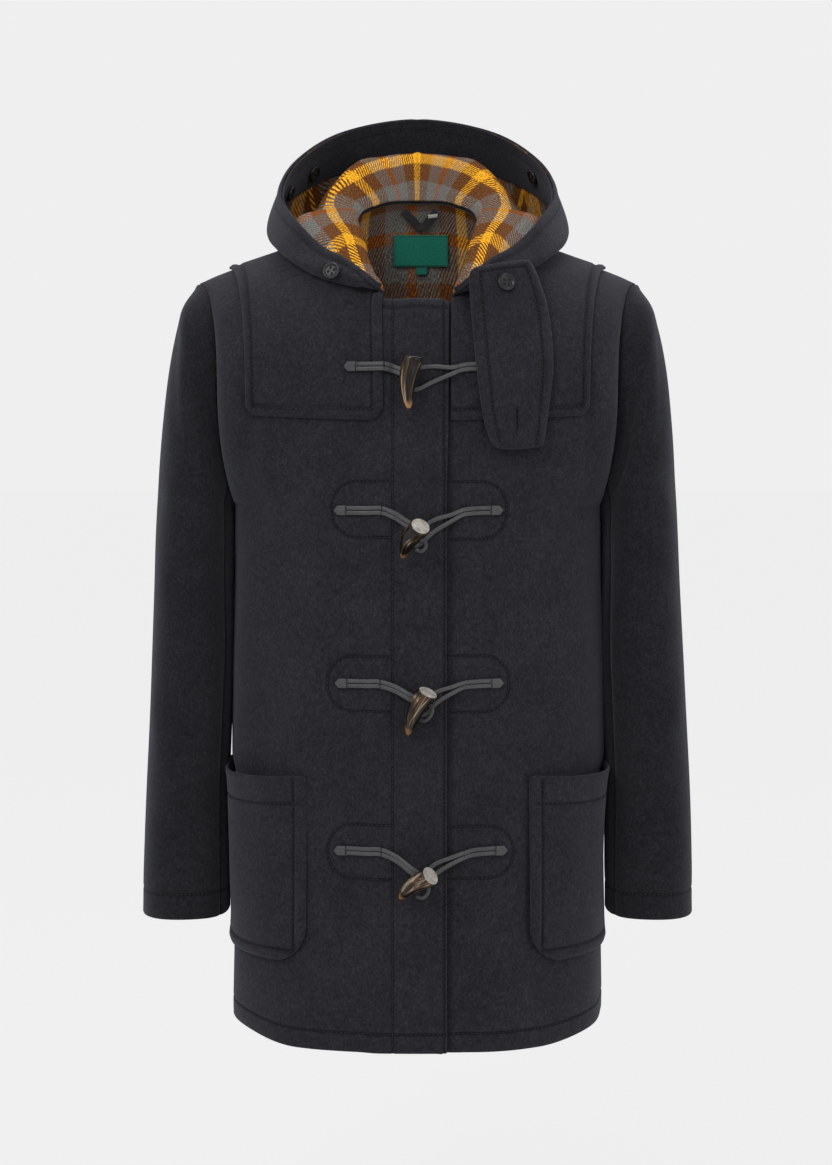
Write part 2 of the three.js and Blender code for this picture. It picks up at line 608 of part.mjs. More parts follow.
// Outer face of the throat tab: u runs across it from its inner edge, v down it
function throatTabPoint(u, v) {
  const inner = THROAT_TAB_ROWS.map((row) => vec(...row.inner));
  const outer = THROAT_TAB_ROWS.map((row) => vec(...row.outer));
  const point = pointOnRow(inner, v).lerp(pointOnRow(outer, v), u);
  point.y -= THROAT_TAB_CROWN * 4 * u * (1 - u) + THROAT_TAB_CLOTH;
  return point;
}

function throatTab() {
  const columns = [0, 0.25, 0.5, 0.75, 1];
  const rows = THROAT_TAB_ROWS.map((row, i) => i / (THROAT_TAB_ROWS.length - 1));
  const grid = clothGrid(columns, rows, throatTabPoint, () => vec(0, -1, 0));
  return clothSolid([grid], THROAT_TAB_CLOTH);
}

// The place halfway between two where a rising function passes a value
function solve(low, high, rising, value) {
  let [from, to] = [low, high];
  for (let i = 0; i < 30; i += 1) {
    const middle = (from + to) / 2;
    if (rising(middle) < value) from = middle;
    else to = middle;
  }
  return (from + to) / 2;
}

// The s and t of a panel at a place seen from the front
function panelPlace(half, x, z) {
  const heightAt = (s) => solve(0, 1, (t) => bodyPoint(half, s, t).z, z);
  const s = solve(0, 0.7, (at) => bodyPoint(half, at, heightAt(at)).x, Math.abs(x));
  return { s, t: heightAt(s) };
}

// Outer face of the front at a place seen from the front, for what lies on it
function frontFaceY(x, z, side) {
  const { s, t } = panelPlace('front', x, z);
  const point = bodyPoint('front', s, t);
  return point.y - lapLift(side, side === RIGHT && x > 0 ? vec(-1, 0, 0) : point);
}

// A closed solid from rings of points, all with the same count, capped at both ends
function ringSolid(rings) {
  const sides = rings[0].length;
  const triangles = [];
  for (let i = 0; i + 1 < rings.length; i += 1) {
    for (let j = 0; j < sides; j += 1) {
      const a = i * sides + j;
      const b = i * sides + (j + 1) % sides;
      triangles.push([a, b, b + sides], [a, b + sides, a + sides]);
    }
  }
  const lastRing = (rings.length - 1) * sides;
  for (let j = 1; j + 1 < sides; j += 1) {
    triangles.push([0, j + 1, j], [lastRing, lastRing + j, lastRing + j + 1]);
  }
  return solidGeometry(rings.flat(), triangles);
}

// The two ends of a toggle's middle line, each lifted off the front where it lies
function toggleEnds(fastening) {
  return [['wide', 'wideLift'], ['tip', 'tipLift']].map(([end, lift]) => {
    const [x, z] = fastening[end];
    return vec(x, frontFaceY(x, z, RIGHT) - fastening[lift], z);
  });
}

function toggle(fastening) {
  const [wide, tip] = toggleEnds(fastening);
  const axis = tip.clone().sub(wide).normalize();
  const bendWay = vec(1, 0, 0).addScaledVector(axis, -axis.x).normalize();
  const across = axis.clone().cross(bendWay).normalize();
  const rings = TOGGLE_RINGS.map(({ along, radius }) => {
    const centre = wide.clone().lerp(tip, along)
      .addScaledVector(bendWay, -TOGGLE_BEND * Math.sin(along * Math.PI));
    return Array.from({ length: TOGGLE_SIDES }, (unused, i) => {
      const angle = -2 * Math.PI * i / TOGGLE_SIDES;
      return centre.clone().addScaledVector(bendWay, -radius * Math.cos(angle))
        .addScaledVector(across, radius * Math.sin(angle));
    });
  });
  return ringSolid(rings);
}

// A flat leather strand along a route that lies on the front, its width up and down the coat
function strand(route, width = STRAND.width, thickness = STRAND.thickness) {
  const rings = route.map((point, i) => {
    const before = route[Math.max(i - 1, 0)];
    const after = route[Math.min(i + 1, route.length - 1)];
    const along = after.clone().sub(before).normalize();
    const out = vec(0, -1, 0).addScaledVector(along, along.y).normalize();
    const across = along.clone().cross(out).normalize().multiplyScalar(width / 2);
    const back = point.clone();
    const front = point.clone().addScaledVector(out, thickness);
    return [front.clone().sub(across), front.clone().add(across), back.clone().add(across),
      back.clone().sub(across)];
  });
  return ringSolid(rings);
}

// A place on what covers the front under a fastening: only the top one crosses the yoke
function onCover(fastening, x, z, out) {
  const coverY = (at, height) => {
    const onRight = at < 32;
    const onYoke = fastening === FASTENINGS[0] && (at < -34 || at > 32);
    return frontFaceY(at, height, onRight ? RIGHT : LEFT) - (onYoke ? CLOTH + GAP : 0);
  };
  const around = [-5, 0, 5].flatMap((step) => [coverY(x + step, z), coverY(x + step, z - 3)]);
  return vec(x, Math.min(...around) - GAP - out, z);
}

// Two strands side by side along a line, joined at its far end by a point beyond it
function doubledStrand(fastening, line, turn) {
  const placed = (sign) => line.map(({ x, z, out, open }) => (
    onCover(fastening, x, z + sign * open, out)));
  return strand([...placed(1), turn, ...placed(-1).reverse()]);
}

// Right cord: its doubled strand runs from the tab's tip to the back of the toggle's waist
function rightCord(fastening) {
  const { rightTip, bendX, tabZ } = fastening;
  const [wide, tip] = toggleEnds(fastening);
  const axis = tip.clone().sub(wide).normalize();
  const back = vec(0, 1, 0).addScaledVector(axis, -axis.y).normalize();
  const end = wide.clone().lerp(tip, TOGGLE_WAIST.along)
    .addScaledVector(back, TOGGLE_WAIST.radius + fastening.seat + STRAND.thickness);
  const open = STRAND.width / 2 + 0.2;
  const bareOut = (x, z) => onCover(fastening, x, z, 0).y - end.y;
  const rise = Math.max(bareOut(end.x, end.z), STRAND.thickness + 3 * GAP);
  const line = [
    { x: rightTip, z: tabZ, out: 0 }, { x: lerp(rightTip, bendX, 0.5), z: tabZ, out: 0 },
    { x: bendX, z: tabZ, out: 0 },
    { x: lerp(bendX, end.x, 0.35), z: lerp(tabZ, end.z, 0.25), out: rise * 0.3 },
    { x: lerp(bendX, end.x, 0.7), z: lerp(tabZ, end.z, 0.7), out: rise * 0.85 },
    { x: end.x - open, z: end.z, out: rise },
  ].map((place) => ({ ...place, open }));
  return doubledStrand(fastening, line, onCover(fastening, end.x + 1.5, end.z, rise));
}

// Left cord: a loop that the toggle passes through, its two ends side by side in the tab
function leftCord(fastening) {
  const { leftTip, tabZ, joinX, joinZ, spread, wide, tip } = fastening;
  const half = STRAND.width / 2 + 0.2;
  const loopX = lerp(wide[0], tip[0], 0.4);
  const loopZ = lerp(wide[1], tip[1], 0.42);
  const line = [
    { x: leftTip, z: tabZ, open: half }, { x: lerp(leftTip, joinX, 0.5), z: tabZ, open: half },
    { x: joinX + 6, z: lerp(joinZ, tabZ, 0.4), open: half },
    { x: LAP_EDGE_X + 4, z: lerp(joinZ, loopZ, 0.15), open: half + 0.8 },
    { x: lerp(LAP_EDGE_X, loopX, 0.4), z: lerp(joinZ, loopZ, 0.5), open: lerp(half, spread, 0.65) },
    { x: loopX + 4, z: loopZ, open: spread },
    { x: loopX - 3, z: loopZ, open: spread * 0.8 },
  ].map((place) => ({ ...place, out: 0 }));
  const turn = onCover(fastening, loopX - 3 - spread * 0.6, loopZ, 0);
  return doubledStrand(fastening, line, turn);
}

// A sewn button: a disc with four holes, its axis along a direction, its back at a point
function button(back, direction) {
  const shape = new THREE.Shape();
  shape.absarc(0, 0, BUTTON.radius, 0, 2 * Math.PI, false);
  for (const [x, y] of [[1, 1], [-1, 1], [-1, -1], [1, -1]]) {
    const hole = new THREE.Path();
    hole.absarc(x * BUTTON.holeOffset, y * BUTTON.holeOffset, BUTTON.holeRadius, 0, 2 * Math.PI);
    shape.holes.push(hole);
  }
  const geometry = new THREE.ExtrudeGeometry(shape,
    { depth: BUTTON.thickness, bevelEnabled: false, curveSegments: 8 });
  const turned = new THREE.Quaternion().setFromUnitVectors(vec(0, 0, 1), direction);
  geometry.applyQuaternion(turned);
  geometry.translate(back.x, back.y, back.z);
  return geometry;
}

// A place on the hood, between grid points too, with the direction out of its navy side
function hoodPlace(side, column, row) {
  const corner = Math.floor(column);
  const along = Math.floor(row);
  const across = column - corner;
  const down = row - along;
  const mix = (value) => value(corner, along).lerp(value(corner + 1, along), across)
    .lerp(value(corner, along + 1).lerp(value(corner + 1, along + 1), across), down);
  return {
    point: mirrored(side, mix((c, r) => HOOD_POINTS[c][r].clone())),
    normal: mirrored(side, mix(hoodNormal).normalize()),
  };
}

// A button on the hood's navy side
function hoodButton(side, column, row) {
  const { point, normal } = hoodPlace(side, column, row);
  return button(point.addScaledVector(normal, BUTTON_SEAT), normal);
}

// Back of a piece sewn on the hood's facing, and the direction out of the facing
function onFacing(side, column, row, standOff) {
  const { point, normal } = hoodPlace(side, column, row);
  const direction = normal.negate();
  const out = CLOTH + GAP + FACING_CLOTH + BUTTON_SEAT + standOff;
  return { back: point.addScaledVector(direction, out), direction };
}

function facingButton(side, column, row, standOff = 0) {
  const { back, direction } = onFacing(side, column, row, standOff);
  return button(back, direction);
}

// The small oval tab under the lower right facing button
function ovalTab(side, column, row) {
  const { back, direction } = onFacing(side, column, row, 0);
  const shape = new THREE.Shape().absellipse(0, 0, HOOD_TAB.halfWidth, HOOD_TAB.halfHeight,
    0, 2 * Math.PI, false, 0);
  const geometry = new THREE.ExtrudeGeometry(shape,
    { depth: HOOD_TAB.thickness, bevelEnabled: false, curveSegments: 10 });
  geometry.applyQuaternion(new THREE.Quaternion().setFromUnitVectors(vec(0, 0, 1), direction));
  geometry.translate(back.x, back.y, back.z);
  return geometry;
}

// A place on the inner face of the back, seen from the front, and the direction out of that face
function backInnerPlace(x, z, out) {
  const { s, t } = panelPlace('back', x, z);
  const side = x < 0 ? RIGHT : LEFT;
  const normal = mirrored(side, bodyNormal('back', s, t)).negate();
  const point = mirrored(side, bodyPoint('back', s, t)).addScaledVector(normal, CLOTH + out);
  return { point, normal };
}

// Small flat sewn pieces on the inner face of the back, below the neck seam
function backInnerPatch({ centreX, topZ, bottomZ, halfWidth, thickness }) {
  const place = (x, z) => backInnerPlace(x, z, LABEL_GAP + thickness);
  const columns = [-1, -0.5, 0, 0.5, 1].map((share) => centreX + share * halfWidth);
  const rows = [bottomZ, (bottomZ + topZ) / 2, topZ];
  const grid = clothGrid(columns, rows, (x, z) => place(x, z).point, (x, z) => place(x, z).normal);
  return clothSolid([grid], thickness);
}

// The hanger loop: a narrow strip sewn on at both ends, hanging in a point
function hangerLoop() {
  const { leftX, rightX, apexX, topZ, apexZ } = HANGER_LOOP;
  const route = [
    [leftX, topZ], [lerp(leftX, apexX, 0.5), lerp(topZ, apexZ, 0.55)], [apexX - 3, apexZ + 0.6],
    [apexX + 3, apexZ + 0.6], [lerp(rightX, apexX, 0.5), lerp(topZ, apexZ, 0.55)],
    [rightX, topZ],
  ];
  return strand(route.map(([x, z]) => backInnerPlace(x, z, LOOP_GAP).point), 5, 1);
}

const coat = new THREE.Group();
coat.name = 'duffle_coat';

function addPiece(name, geometry, { color, roughness }) {
  const material = new THREE.MeshStandardMaterial({ color, roughness, metalness: 0 });
  const mesh = new THREE.Mesh(geometry, material);
  mesh.name = name;
  coat.add(mesh);
}

for (const [side, name] of [[RIGHT, 'right'], [LEFT, 'left']]) {
  addPiece(`front_${name}`, frontPanel(side), COLOURS.melton);
  addPiece(`sleeve_${name}_top`,
    sleevePiece(side, SLEEVE_FRONT_SEAM, SLEEVE_BACK_SEAM), COLOURS.melton);
  addPiece(`sleeve_${name}_under`,
    sleevePiece(side, SLEEVE_BACK_SEAM - 360, SLEEVE_FRONT_SEAM), COLOURS.melton);
  addPiece(`pocket_${name}`, pocket(side), COLOURS.melton);
  addPiece(`hood_${name}`, hoodHalf(side), COLOURS.melton);
  addPiece(`hood_facing_${name}`, hoodFacing(side), COLOURS.meltonEdge);
}
addPiece('back', backPanel(), COLOURS.melton);
addPiece('yoke', yoke(), COLOURS.melton);
addPiece('throat_tab', throatTab(), COLOURS.melton);

FASTENINGS.forEach((fastening, i) => {
  addPiece(`toggle_${i + 1}`, toggle(fastening), COLOURS.horn);
  addPiece(`cord_right_${i + 1}`, rightCord(fastening), COLOURS.leather);
  addPiece(`cord_left_${i + 1}`, leftCord(fastening), COLOURS.leather);
});

addPiece('neck_label', backInnerPatch(NECK_LABEL), COLOURS.label);
addPiece('size_tab', backInnerPatch(SIZE_TAB), COLOURS.label);
addPiece('hanger_loop', hangerLoop(), COLOURS.melton);

const tabNormal = surfaceNormal(throatTabPoint, 0.5, 0.17, vec(0, -1, 0));
const tabButtonBack = throatTabPoint(0.5, 0.17).addScaledVector(tabNormal, GAP);
addPiece('button_throat', button(tabButtonBack, tabNormal), COLOURS.button);
addPiece('button_hood_front', hoodButton(RIGHT, 4.5, 13), COLOURS.button);
addPiece('button_hood_right', facingButton(RIGHT, 13, 12.8, GAP), COLOURS.button);
addPiece('hood_tab', ovalTab(RIGHT, 11.7, 12.9), COLOURS.melton);
addPiece('button_hood_tab', facingButton(RIGHT, 11.7, 12.9, HOOD_TAB.thickness + GAP),
  COLOURS.button);
addPiece('button_hood_left', facingButton(LEFT, 12.4, 13.1), COLOURS.button);

export default coat;
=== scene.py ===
"""Wool duffle coat: the cloth, horn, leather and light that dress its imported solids.

Lengths in the tables are millimetres in the coat's own frame: +Z up, front towards -Y and the
wearer's left side at +X. Every piece is made from the same surfaces as the solid it stands for.
"""
import math

import bpy
import numpy as np
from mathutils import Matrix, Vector


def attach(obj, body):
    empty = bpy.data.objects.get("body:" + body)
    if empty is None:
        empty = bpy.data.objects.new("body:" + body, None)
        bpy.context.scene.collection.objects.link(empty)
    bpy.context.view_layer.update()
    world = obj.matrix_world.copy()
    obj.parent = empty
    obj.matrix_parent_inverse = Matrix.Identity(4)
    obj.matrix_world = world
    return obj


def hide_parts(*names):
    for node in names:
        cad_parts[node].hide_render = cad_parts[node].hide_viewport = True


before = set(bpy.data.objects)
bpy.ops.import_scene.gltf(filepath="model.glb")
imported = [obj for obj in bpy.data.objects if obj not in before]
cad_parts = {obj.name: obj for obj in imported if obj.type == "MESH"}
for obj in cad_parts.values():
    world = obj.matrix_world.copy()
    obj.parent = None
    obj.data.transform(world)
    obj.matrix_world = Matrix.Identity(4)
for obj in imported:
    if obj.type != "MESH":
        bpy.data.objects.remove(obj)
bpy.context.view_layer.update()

MM = 0.001
RIGHT, LEFT = -1, 1
NAMES = {RIGHT: "right", LEFT: "left"}
CLOTH = 3.0
GAP = 0.45
LAP_LIFT = CLOTH + GAP

# Camera, light and floor

PHOTO_WIDTH = 832
MM_PER_PIXEL = 1.05
CAMERA_DISTANCE = 2.2
CAMERA_X, CAMERA_Z = -0.0016, -0.214
PITCH_DEGREES = 2.0
SHIFT_Y = -0.0955
SENSOR, FAR_CLIP = 36.0, 60
FLOOR_Z, FLOOR_REACH = -1.15, 30
FLOOR_GREY, FLOOR_GLOW = (0.12, 0.12, 0.12, 1), 0.745
STUDIO_COLOR = (0.863, 0.863, 0.868, 1)
LIGHTS = [  # name, place, aim, size, power
    ("key", (-1.3, -2.2, 1.5), (0, 0, -0.25), 1.1, 26),
    ("fill", (1.9, -1.8, 0.2), (0, 0, -0.35), 1.6, 9),
    ("top", (0.1, 0.4, 2.3), (0, 0.05, 0), 1.2, 14),
]


def add_object(name, data):
    thing = bpy.data.objects.new(name, data)
    bpy.context.scene.collection.objects.link(thing)
    return thing


def make_camera():
    data = bpy.data.cameras.new("camera")
    data.sensor_fit = "HORIZONTAL"
    data.sensor_width = SENSOR
    data.lens = SENSOR * CAMERA_DISTANCE / (PHOTO_WIDTH * MM_PER_PIXEL * MM)
    data.shift_y = SHIFT_Y
    data.clip_end = FAR_CLIP
    camera = add_object("camera", data)
    camera.location = (CAMERA_X, -CAMERA_DISTANCE, CAMERA_Z)
    camera.rotation_euler = (math.radians(90 - PITCH_DEGREES), 0, 0)
    bpy.context.scene.camera = camera


def make_floor():
    """A wide sheet with an even glow, for the photograph's plain pale ground."""
    mesh = bpy.data.meshes.new("floor")
    reach = FLOOR_REACH
    corners = [(-reach, -reach, 0), (reach, -reach, 0), (reach, reach, 0), (-reach, reach, 0)]
    mesh.from_pydata(corners, [], [(0, 1, 2, 3)])
    floor = add_object("floor", mesh)
    floor.location = (0, 0, FLOOR_Z)
    paint = bpy.data.materials.new("floor_paint")
    paint.use_nodes = True
    inputs = paint.node_tree.nodes["Principled BSDF"].inputs
    for name, value in (("Base Color", FLOOR_GREY), ("Roughness", 1), ("Specular IOR Level", 0),
                        ("Emission Color", (1, 1, 1, 1)), ("Emission Strength", FLOOR_GLOW)):
        inputs[name].default_value = value
    mesh.materials.append(paint)


def make_light():
    world = bpy.data.worlds.new("studio")
    world.use_nodes = True
    background = world.node_tree.nodes["Background"]
    background.inputs["Color"].default_value = STUDIO_COLOR
    background.inputs["Strength"].default_value = 1.0
    bpy.context.scene.world = world
    bpy.context.scene.view_settings.view_transform = "Standard"
    for name, place, aim, size, power in LIGHTS:
        lamp = bpy.data.lights.new(name, "AREA")
        lamp.size = size
        lamp.energy = power
        lamp_object = add_object(name, lamp)
        lamp_object.location = place
        way = Vector(aim) - Vector(place)
        lamp_object.rotation_euler = way.to_track_quat("-Z", "Y").to_euler()


# Body surface

HEM_Z, ARMPIT_Z, CHEST_Z, SHOULDER_Z = -818, -291, -194, -61
BODY_SECTIONS = [  # z, half width, front, back
    (-818, 194, 152, 150), (-700, 192, 151, 148), (-500, 190, 150, 144),
    (-400, 189, 149, 141), (-291, 190, 146, 137), (-194, 200, 136, 126),
]
BODY_SQUARENESS = 0.083
ARMHOLE_BOTTOM_X, ARMHOLE_CHEST_X, ARMHOLE_TOP_X = 190, 203, 228
ARMHOLE_DEPTH = {"front": -72, "back": 82}
ARMHOLE_MID_Z = (ARMPIT_Z + SHOULDER_Z) / 2
ARMHOLE_HALF_HEIGHT = (SHOULDER_Z - ARMPIT_Z) / 2
SHOULDER_ROUNDING = 1.2
FRONT_UPRIGHT = 0.4
NECK_S = 0.3
SHOULDER_SEAM = [  # s, x, y, z
    (0.3, 67, 6, -1), (0.365, 96, 5.2, -12), (0.46, 146, 3.4, -30), (0.56, 195, 1.5, -47),
    (1, 228, 0, -61),
]
NECK = {
    "front": [(0, 0, -110, -86), (0.11, 36, -108.5, -86), (0.16, 47, -93, -76),
              (0.21, 57, -70, -56), (0.255, 64, -36, -30), (0.3, 67, 6, -1)],
    "back": [(0, 0, 75, 32), (0.1, 30, 73.5, 31), (0.2, 55, 60, 22), (0.26, 64, 36, 12),
             (0.3, 67, 6, -1)],
}
T_ARMPIT, T_CHEST = 0.7, 0.85
OVERLAP_S, UNDERLAP_S = 0.0905, 0.11
YOKE_SIDE_S, YOKE_FRONT_S, YOKE_BOTTOM_TURN = 0.56, 0.11, 81
POCKET_FRONT_S, POCKET_TOP_Z, POCKET_BOTTOM_Z = 0.365, -557, -742
POCKET_MOUTH_STAND, POCKET_BASE_STAND = 13, 3
SEAM_S, SEAM_T = 0.0009, 0.0009
MM_PER_S = 298.0
LAP_EDGE_X, LAP_FADE_X = 29.5, (38, 62)
TOP_REACH = 330
PLACE_LAST_T = 0.93


def smooth(x, low, high):
    u = np.clip((x - low) / (high - low), 0, 1)
    return u * u * (3 - 2 * u)


def lerp(a, b, u):
    return a + (b - a) * u


def curve_at(knots, values, at):
    """Smooth curve through values at knots, at any array of places."""
    knots, values, at = (np.asarray(v, float) for v in (knots, values, at))
    last = len(knots) - 1
    i = np.clip(np.searchsorted(knots, at, side="left") - 1, 0, last - 1)
    before, after = np.maximum(i - 1, 0), np.minimum(i + 2, last)
    span = knots[i + 1] - knots[i]
    u = (at - knots[i]) / span
    start_slope = (values[i + 1] - values[before]) / (knots[i + 1] - knots[before]) * span
    end_slope = (values[after] - values[i]) / (knots[after] - knots[i]) * span
    return (values[i] * (2 * u**3 - 3 * u**2 + 1) + start_slope * (u**3 - 2 * u**2 + u)
            + values[i + 1] * (3 * u**2 - 2 * u**3) + end_slope * (u**3 - u**2))


def column(rows, index):
    return [row[index] for row in rows]


def section(z, index):
    return curve_at(column(BODY_SECTIONS, 0), column(BODY_SECTIONS, index), z)


def armhole_point(half, turn):
    reach = np.sin(turn)
    upper = turn > math.pi / 2
    x = np.where(upper, lerp(ARMHOLE_CHEST_X, ARMHOLE_TOP_X, 1 - reach),
                 lerp(ARMHOLE_BOTTOM_X, ARMHOLE_CHEST_X, reach**2))
    y = ARMHOLE_DEPTH[half] * np.where(upper, np.abs(reach) ** SHOULDER_ROUNDING, reach)
    return x, y, ARMHOLE_MID_Z - ARMHOLE_HALF_HEIGHT * np.cos(turn)


def top_edge(half, s):
    across = np.abs(s)
    out = []
    for index in (1, 2, 3):
        neck = curve_at(column(NECK[half], 0), column(NECK[half], index), across)
        seam = curve_at(column(SHOULDER_SEAM, 0), column(SHOULDER_SEAM, index), across)
        out.append(np.where(across < NECK_S, neck, seam))
    return np.sign(s) * out[0], out[1], out[2]


def body_point(half, s, t):
    """Outer face of the body: s from the centre line to the side seam, t from hem to top edge."""
    s, t = np.broadcast_arrays(np.asarray(s, float), np.asarray(t, float))
    way = -1 if half == "front" else 1
    index = 2 if half == "front" else 3
    phi = s * math.pi / 2
    fuller = 1 + BODY_SQUARENESS * np.sin(2 * phi) ** 2
    across, ahead = np.sin(phi) * fuller, np.cos(phi) * fuller
    z = lerp(HEM_Z, ARMPIT_Z, np.minimum(t / T_ARMPIT, 1))
    lower = np.stack([section(z, 1) * across, section(z, index) * way * ahead, z], -1)
    rise = np.clip((t - T_ARMPIT) / (T_CHEST - T_ARMPIT), 0, 1)
    ex, ey, ez = armhole_point(half, rise * math.pi / 2)
    centre_z = lerp(ARMPIT_Z, CHEST_Z, rise)
    chest = np.stack([ex * across, ey + (section(centre_z, index) * way - ey) * ahead,
                      lerp(centre_z, ez, np.sin(phi) ** 2)], -1)
    climb = np.clip((t - T_CHEST) / (1 - T_CHEST), 0, 1) * math.pi / 2
    tx, ty, tz = top_edge(half, s)
    straight = 1 - smooth(np.abs(chest[..., 0]), 40, 80) if half == "front" else 0
    rolled = 1 - np.maximum(np.cos(climb), 0) ** SHOULDER_ROUNDING
    upper = np.stack([
        lerp(chest[..., 0], tx, 1 - np.cos(climb)),
        lerp(chest[..., 1], ty, lerp(rolled, np.sin(climb), straight * FRONT_UPRIGHT)),
        lerp(chest[..., 2], tz, np.sin(climb))], -1)
    return np.where((t <= T_ARMPIT)[..., None], lower,
                    np.where((t <= T_CHEST)[..., None], chest, upper))


def unit(v):
    return v / np.maximum(np.linalg.norm(v, axis=-1, keepdims=True), 1e-9)


def panel_normal(half, s, t):
    h = 0.004
    t = np.minimum(t, 0.996)
    along_s = body_point(half, s + h, t) - body_point(half, s - h, t)
    along_t = body_point(half, s, np.minimum(t + h, 1)) - body_point(half, s, t - h)
    normal = np.cross(along_s, along_t)
    return unit(normal if half == "front" else -normal)


def body_normal(half, s, t):
    s, t = np.broadcast_arrays(np.asarray(s, float), np.asarray(t, float))
    s = np.clip(s, -1, 0.9985)
    own = panel_normal(half, s, t)
    share = smooth(t, 0.97, 1) * smooth(np.abs(s), 0.27, 0.3)
    both = unit(panel_normal("front", s, 0.996 + 0 * t) + panel_normal("back", s, 0.996 + 0 * t))
    return unit(lerp(own, both, share[..., None]))


def lower_t(z):
    return T_ARMPIT * (z - HEM_Z) / (ARMPIT_Z - HEM_Z)


def turn_t(degrees):
    return (lerp(T_ARMPIT, T_CHEST, degrees / 90) if degrees <= 90
            else lerp(T_CHEST, 1, (degrees - 90) / 90))


def lap_lift(side, x):
    """How far the right front is lifted where it laps over the left one. x is on its own side."""
    return LAP_LIFT * (1 - smooth(x, *LAP_FADE_X)) if side == RIGHT else 0 * x


def panel_place(half, x, z):
    """The s and t of a panel at places seen from the front."""
    x, z = np.broadcast_arrays(np.asarray(x, float), np.asarray(z, float))
    s = np.abs(x) / MM_PER_S
    t = np.where(z < ARMPIT_Z, lower_t(z), lerp(T_ARMPIT, 1, (z - ARMPIT_Z) / TOP_REACH))
    t = np.minimum(t, PLACE_LAST_T)
    h = 1e-4
    for _ in range(40):
        p = body_point(half, s, t)
        ds = (body_point(half, s + h, t) - p) / h
        dt = (body_point(half, s, t - h) - p) / -h
        ex, ez = np.abs(x) - p[..., 0], z - p[..., 2]
        if max(np.abs(ex).max(), np.abs(ez).max()) < 0.01:
            break
        det = ds[..., 0] * dt[..., 2] - ds[..., 2] * dt[..., 0]
        det = np.where(np.abs(det) < 1, 1, det)
        step_s = (ex * dt[..., 2] - ez * dt[..., 0]) / det
        step_t = (ds[..., 0] * ez - ds[..., 2] * ex) / det
        s = np.clip(s + 0.7 * np.clip(step_s, -0.05, 0.05), 0, 1)
        t = np.clip(t + 0.7 * np.clip(step_t, -0.05, 0.05), 0, 0.9999)
    return s, t


def front_face(x, z):
    """How far forward the outer face of the lapped fronts is, at places seen from there."""
    x, z = np.broadcast_arrays(np.asarray(x, float), np.asarray(z, float))
    s, t = panel_place("front", x, z)
    p = body_point("front", s, t)
    lift = np.where(x < LAP_EDGE_X, np.where(x > 0, LAP_LIFT, lap_lift(RIGHT, np.abs(x))), 0)
    return p[..., 1] - lift


# Sleeve surface

SLEEVE_RINGS = [  # outer x, outer z, inner x, inner z, middle y, half depth
    (241, -80, 191.5, -292.5, -1, 80), (250, -108, 192, -295, -2, 85),
    (257.5, -150, 192.5, -300, -3, 88), (263.5, -205, 193, -312, -4, 88),
    (268, -262, 193.5, -335, -5, 86), (271.5, -320, 194, -365, -6, 83),
    (274, -375, 195, -400, -7, 79), (277, -440, 197, -450, -9, 75),
    (280, -510, 200, -513, -11, 70), (283.5, -585, 203, -586, -13, 65),
    (285.5, -650, 203, -650, -15, 61), (287, -714, 203, -714, -16, 57.5),
]
SLEEVE_SQUARENESS = 0.06
SLEEVE_SEAM_DEGREES = 36
SLEEVE_SEAM_GAP = 0.0035


def on_rows(points, share):
    """Point on a smooth curve through rows (first axis) at shares that broadcast over the rest."""
    n = len(points) - 1
    at = share * n
    i = np.clip(np.floor(at).astype(int), 0, n - 1)
    u = (at - i)[..., None]

    def pick(k):
        k = np.broadcast_to(k, points.shape[1:-1])
        return np.take_along_axis(points, k[None, ..., None], 0)[0]

    start, end = pick(i), pick(i + 1)
    before = np.where((i > 0)[..., None], pick(np.maximum(i - 1, 0)), 2 * start - end)
    after = np.where((i + 2 <= n)[..., None], pick(np.minimum(i + 2, n)), 2 * end - start)
    return 0.5 * (2 * start + (end - before) * u + (2 * before - 5 * start + 4 * end - after) * u**2
                  + (3 * start - before - 3 * end + after) * u**3)


def sleeve_point(turn, v):
    turn, v = np.broadcast_arrays(np.asarray(turn, float), np.asarray(v, float))
    wrapped = np.mod(turn, 2 * math.pi)
    front = wrapped <= math.pi
    around = np.where(front, wrapped, 2 * math.pi - wrapped)
    fx, fy, fz = armhole_point("front", around)
    bx, by, bz = armhole_point("back", around)
    rows = [np.stack([np.where(front, fx, bx) + 0.5, np.where(front, fy, by),
                      np.where(front, fz, bz)], -1)]
    fuller = 1 + SLEEVE_SQUARENESS * np.sin(2 * wrapped) ** 2
    for outer_x, outer_z, inner_x, inner_z, middle_y, half_depth in SLEEVE_RINGS:
        in_out = (1 - np.cos(wrapped) * fuller) / 2
        rows.append(np.stack([lerp(inner_x, outer_x, in_out),
                              middle_y - half_depth * np.sin(wrapped) * fuller,
                              lerp(inner_z, outer_z, in_out)], -1))
    return on_rows(np.stack(rows), v)


def sleeve_normal(turn, v):
    h = 0.01
    along_turn = sleeve_point(turn + h, v) - sleeve_point(turn - h, v)
    along_v = sleeve_point(turn, np.minimum(v + h, 1)) - sleeve_point(turn, np.maximum(v - h, 0))
    normal = unit(np.cross(along_turn, along_v))
    axis = (sleeve_point(turn, v) + sleeve_point(turn + math.pi, v)) / 2
    away = sleeve_point(turn, v) - axis
    return normal * np.where((normal * away).sum(-1, keepdims=True) < 0, -1, 1)


# Hood surface

